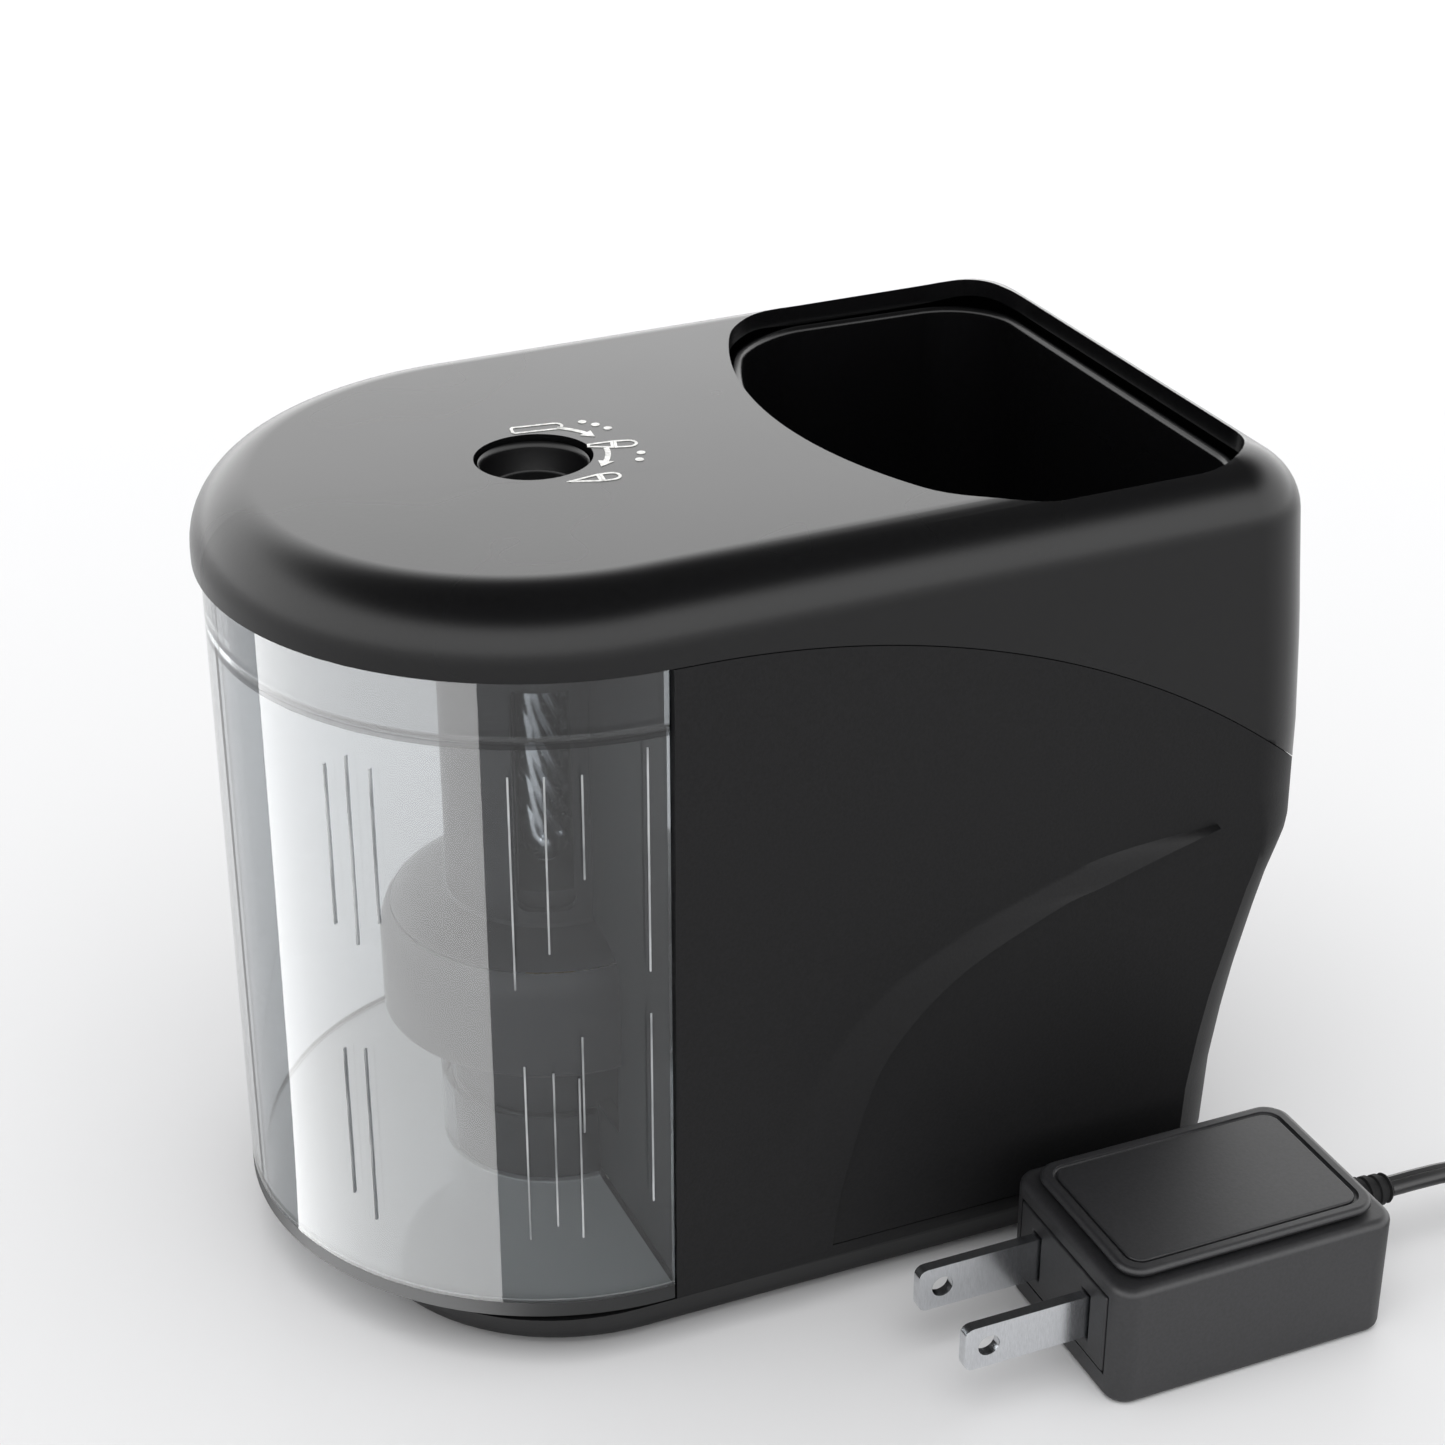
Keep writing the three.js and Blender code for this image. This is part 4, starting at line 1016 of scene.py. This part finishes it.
lid = rounded_box("adapter_panel", (x0 + 1.8, y0 + 1.8, CASE_TOP + GAP), (x1 - 1.8, y1 - 1.8, 19.4),
                  3.2, 0.62, 8, 4)
combine(lid, "UNION", block("lid_spigot", (x0 + 3.8, y0 + 3.8, CASE_TOP - 2.4),
                            (x1 - 3.8, y1 - 3.8, CASE_TOP + 0.8)))
# a step round the panel, a little way in from its edge
inner = rounded_box("panel_step", (x0 + 3.2, y0 + 3.2, 18.9), (x1 - 3.2, y1 - 3.2, 22), 2.4, 0.3)
outer = rounded_box("panel_rim", (x0 + 3.7, y0 + 3.7, 18.7), (x1 - 3.7, y1 - 3.7, 19.35), 2.1, 0.25)
combine(inner, "DIFFERENCE", outer)
combine(lid, "DIFFERENCE", inner)
soften(lid, 0.15, 2, 50, 35)
put(lid, "housing", "satin_black", satin_case, "adapter_lid")

BLADES = [LEAD_Y + 5.9, LEAD_Y - 6.8]
face = block("adapter_front", (x0 - 0.2, y0 + 3.3, 3.7), (x0 + 1.2, y1 - 3.3, 15.3))
combine(face, "UNION", block("front_spigot", (x0 + 0.5, y0 + 5.3, 5.7), (x0 + 3.6, y1 - 5.3, 13.3)))
for y in BLADES:
    combine(face, "DIFFERENCE", block("blade_way", (x0 - 1, y - 1.05, 5.9), (x0 + 5, y + 1.05, 12.9)))
soften(face, 0.3, 3, 50, 35)
put(face, "housing", "satin_black", satin_case, "adapter_face")

nickel = metal("nickel_plated_brass", "#d5d7da", 0.2, 0.9, 0.006, (6, 1, 1))
for i, y in enumerate(BLADES):
    blade = block(f"plated_blade_{i + 1}", (x0 - 17.6, y - 0.75, 6.2), (x0 + 3.4, y + 0.75, 12.6))
    pick(blade, "EDGE", lambda edge: all(place_of(blade.data.vertices[k])[0] < x0 - 17 for k in edge.vertices)
         and abs(blade.data.vertices[edge.vertices[0]].co.y - blade.data.vertices[edge.vertices[1]].co.y) > 1e-5)
    bpy.ops.mesh.bevel(offset=1.2 * MM, segments=4, affect="EDGES")
    done()
    combine(blade, "DIFFERENCE", laid(turned("hole", [(0, -4), (1.5, -4), (1.5, 4), (0, 4)], 32),
                                      (x0 - 14.2, y, 9.4), ALONG_MINUS_Y))
    soften(blade, 0.22, 3, 50, 35)
    put(blade, "housing", "bright_steel", nickel, f"adapter_blade_{i + 1}")


relief_profile = [(0, -2.4), (1.9, -2.4), (1.9, 0.3), (2.8, 0.3), (2.9, 0.5)]
for i in range(5):
    z = 0.9 + 1.6 * i
    r = 2.9 - 0.16 * (i + 0.5)
    relief_profile += [(r, z), (r, z + 0.7), (r - 0.42, z + 0.85), (r - 0.42, z + 1.4)]
relief_profile += [(2.1, 8.9), (1.9, 9.2), (0, 9.2)]
relief = laid(turned("ribbed_relief", relief_profile, 40), (x1, LEAD_Y, LEAD_Z), ALONG_X)
smooth(relief, 35)
put(relief, "housing", "rubber_black", rubber, "adapter_relief")

# ---- Barrel plug on the lead's far end: a moulded grip with finger grooves and a nickel-plated barrel.
PLUG_PLACE = (167.8, -88.3, 4.8)
plug_relief = laid(turned("plug_sleeve", [(0, 0), (1.9, 0), (2.0, 0.3), (2.15, 2.6), (1.8, 2.8), (1.85, 3.4),
                                          (2.3, 3.6), (2.4, 5.4), (2.05, 5.6), (2.1, 6.2), (2.55, 6.4), (2.7, 9.8),
                                          (2.6, 10), (0, 10)], 40), PLUG_PLACE, ALONG_MINUS_Y)
smooth(plug_relief, 35)
put(plug_relief, "housing", "rubber_black", rubber, "plug_relief")
grip_profile = [(0, 10.3), (3.7, 10.3), (4.2, 10.6), (4.7, 12)]
for i in range(6):
    z = 13 + 1.7 * i
    grip_profile += [(4.7, z), (4.35, z + 0.25), (4.35, z + 0.75), (4.7, z + 1)]
grip_profile += [(4.7, 24.8), (4.4, 25.7), (4.1, 26), (0, 26)]
plug_grip = laid(turned("plug_grip", grip_profile, 48), PLUG_PLACE, ALONG_MINUS_Y)
smooth(plug_grip, 35)
put(plug_grip, "housing", "satin_black", satin_case, "plug_body")
barrel = laid(turned("plug_tip", [(0, 26.3), (2.6, 26.3), (2.7, 26.5), (2.7, 27.4), (2.62, 27.6), (2.75, 28.2),
                                  (2.75, 35.3), (2.6, 35.6), (1.3, 35.6), (1.15, 35.4), (1.15, 28), (0, 28)], 48),
              PLUG_PLACE, ALONG_MINUS_Y)
smooth(barrel, 35)
put(barrel, "housing", "bright_steel", nickel, "plug_barrel")
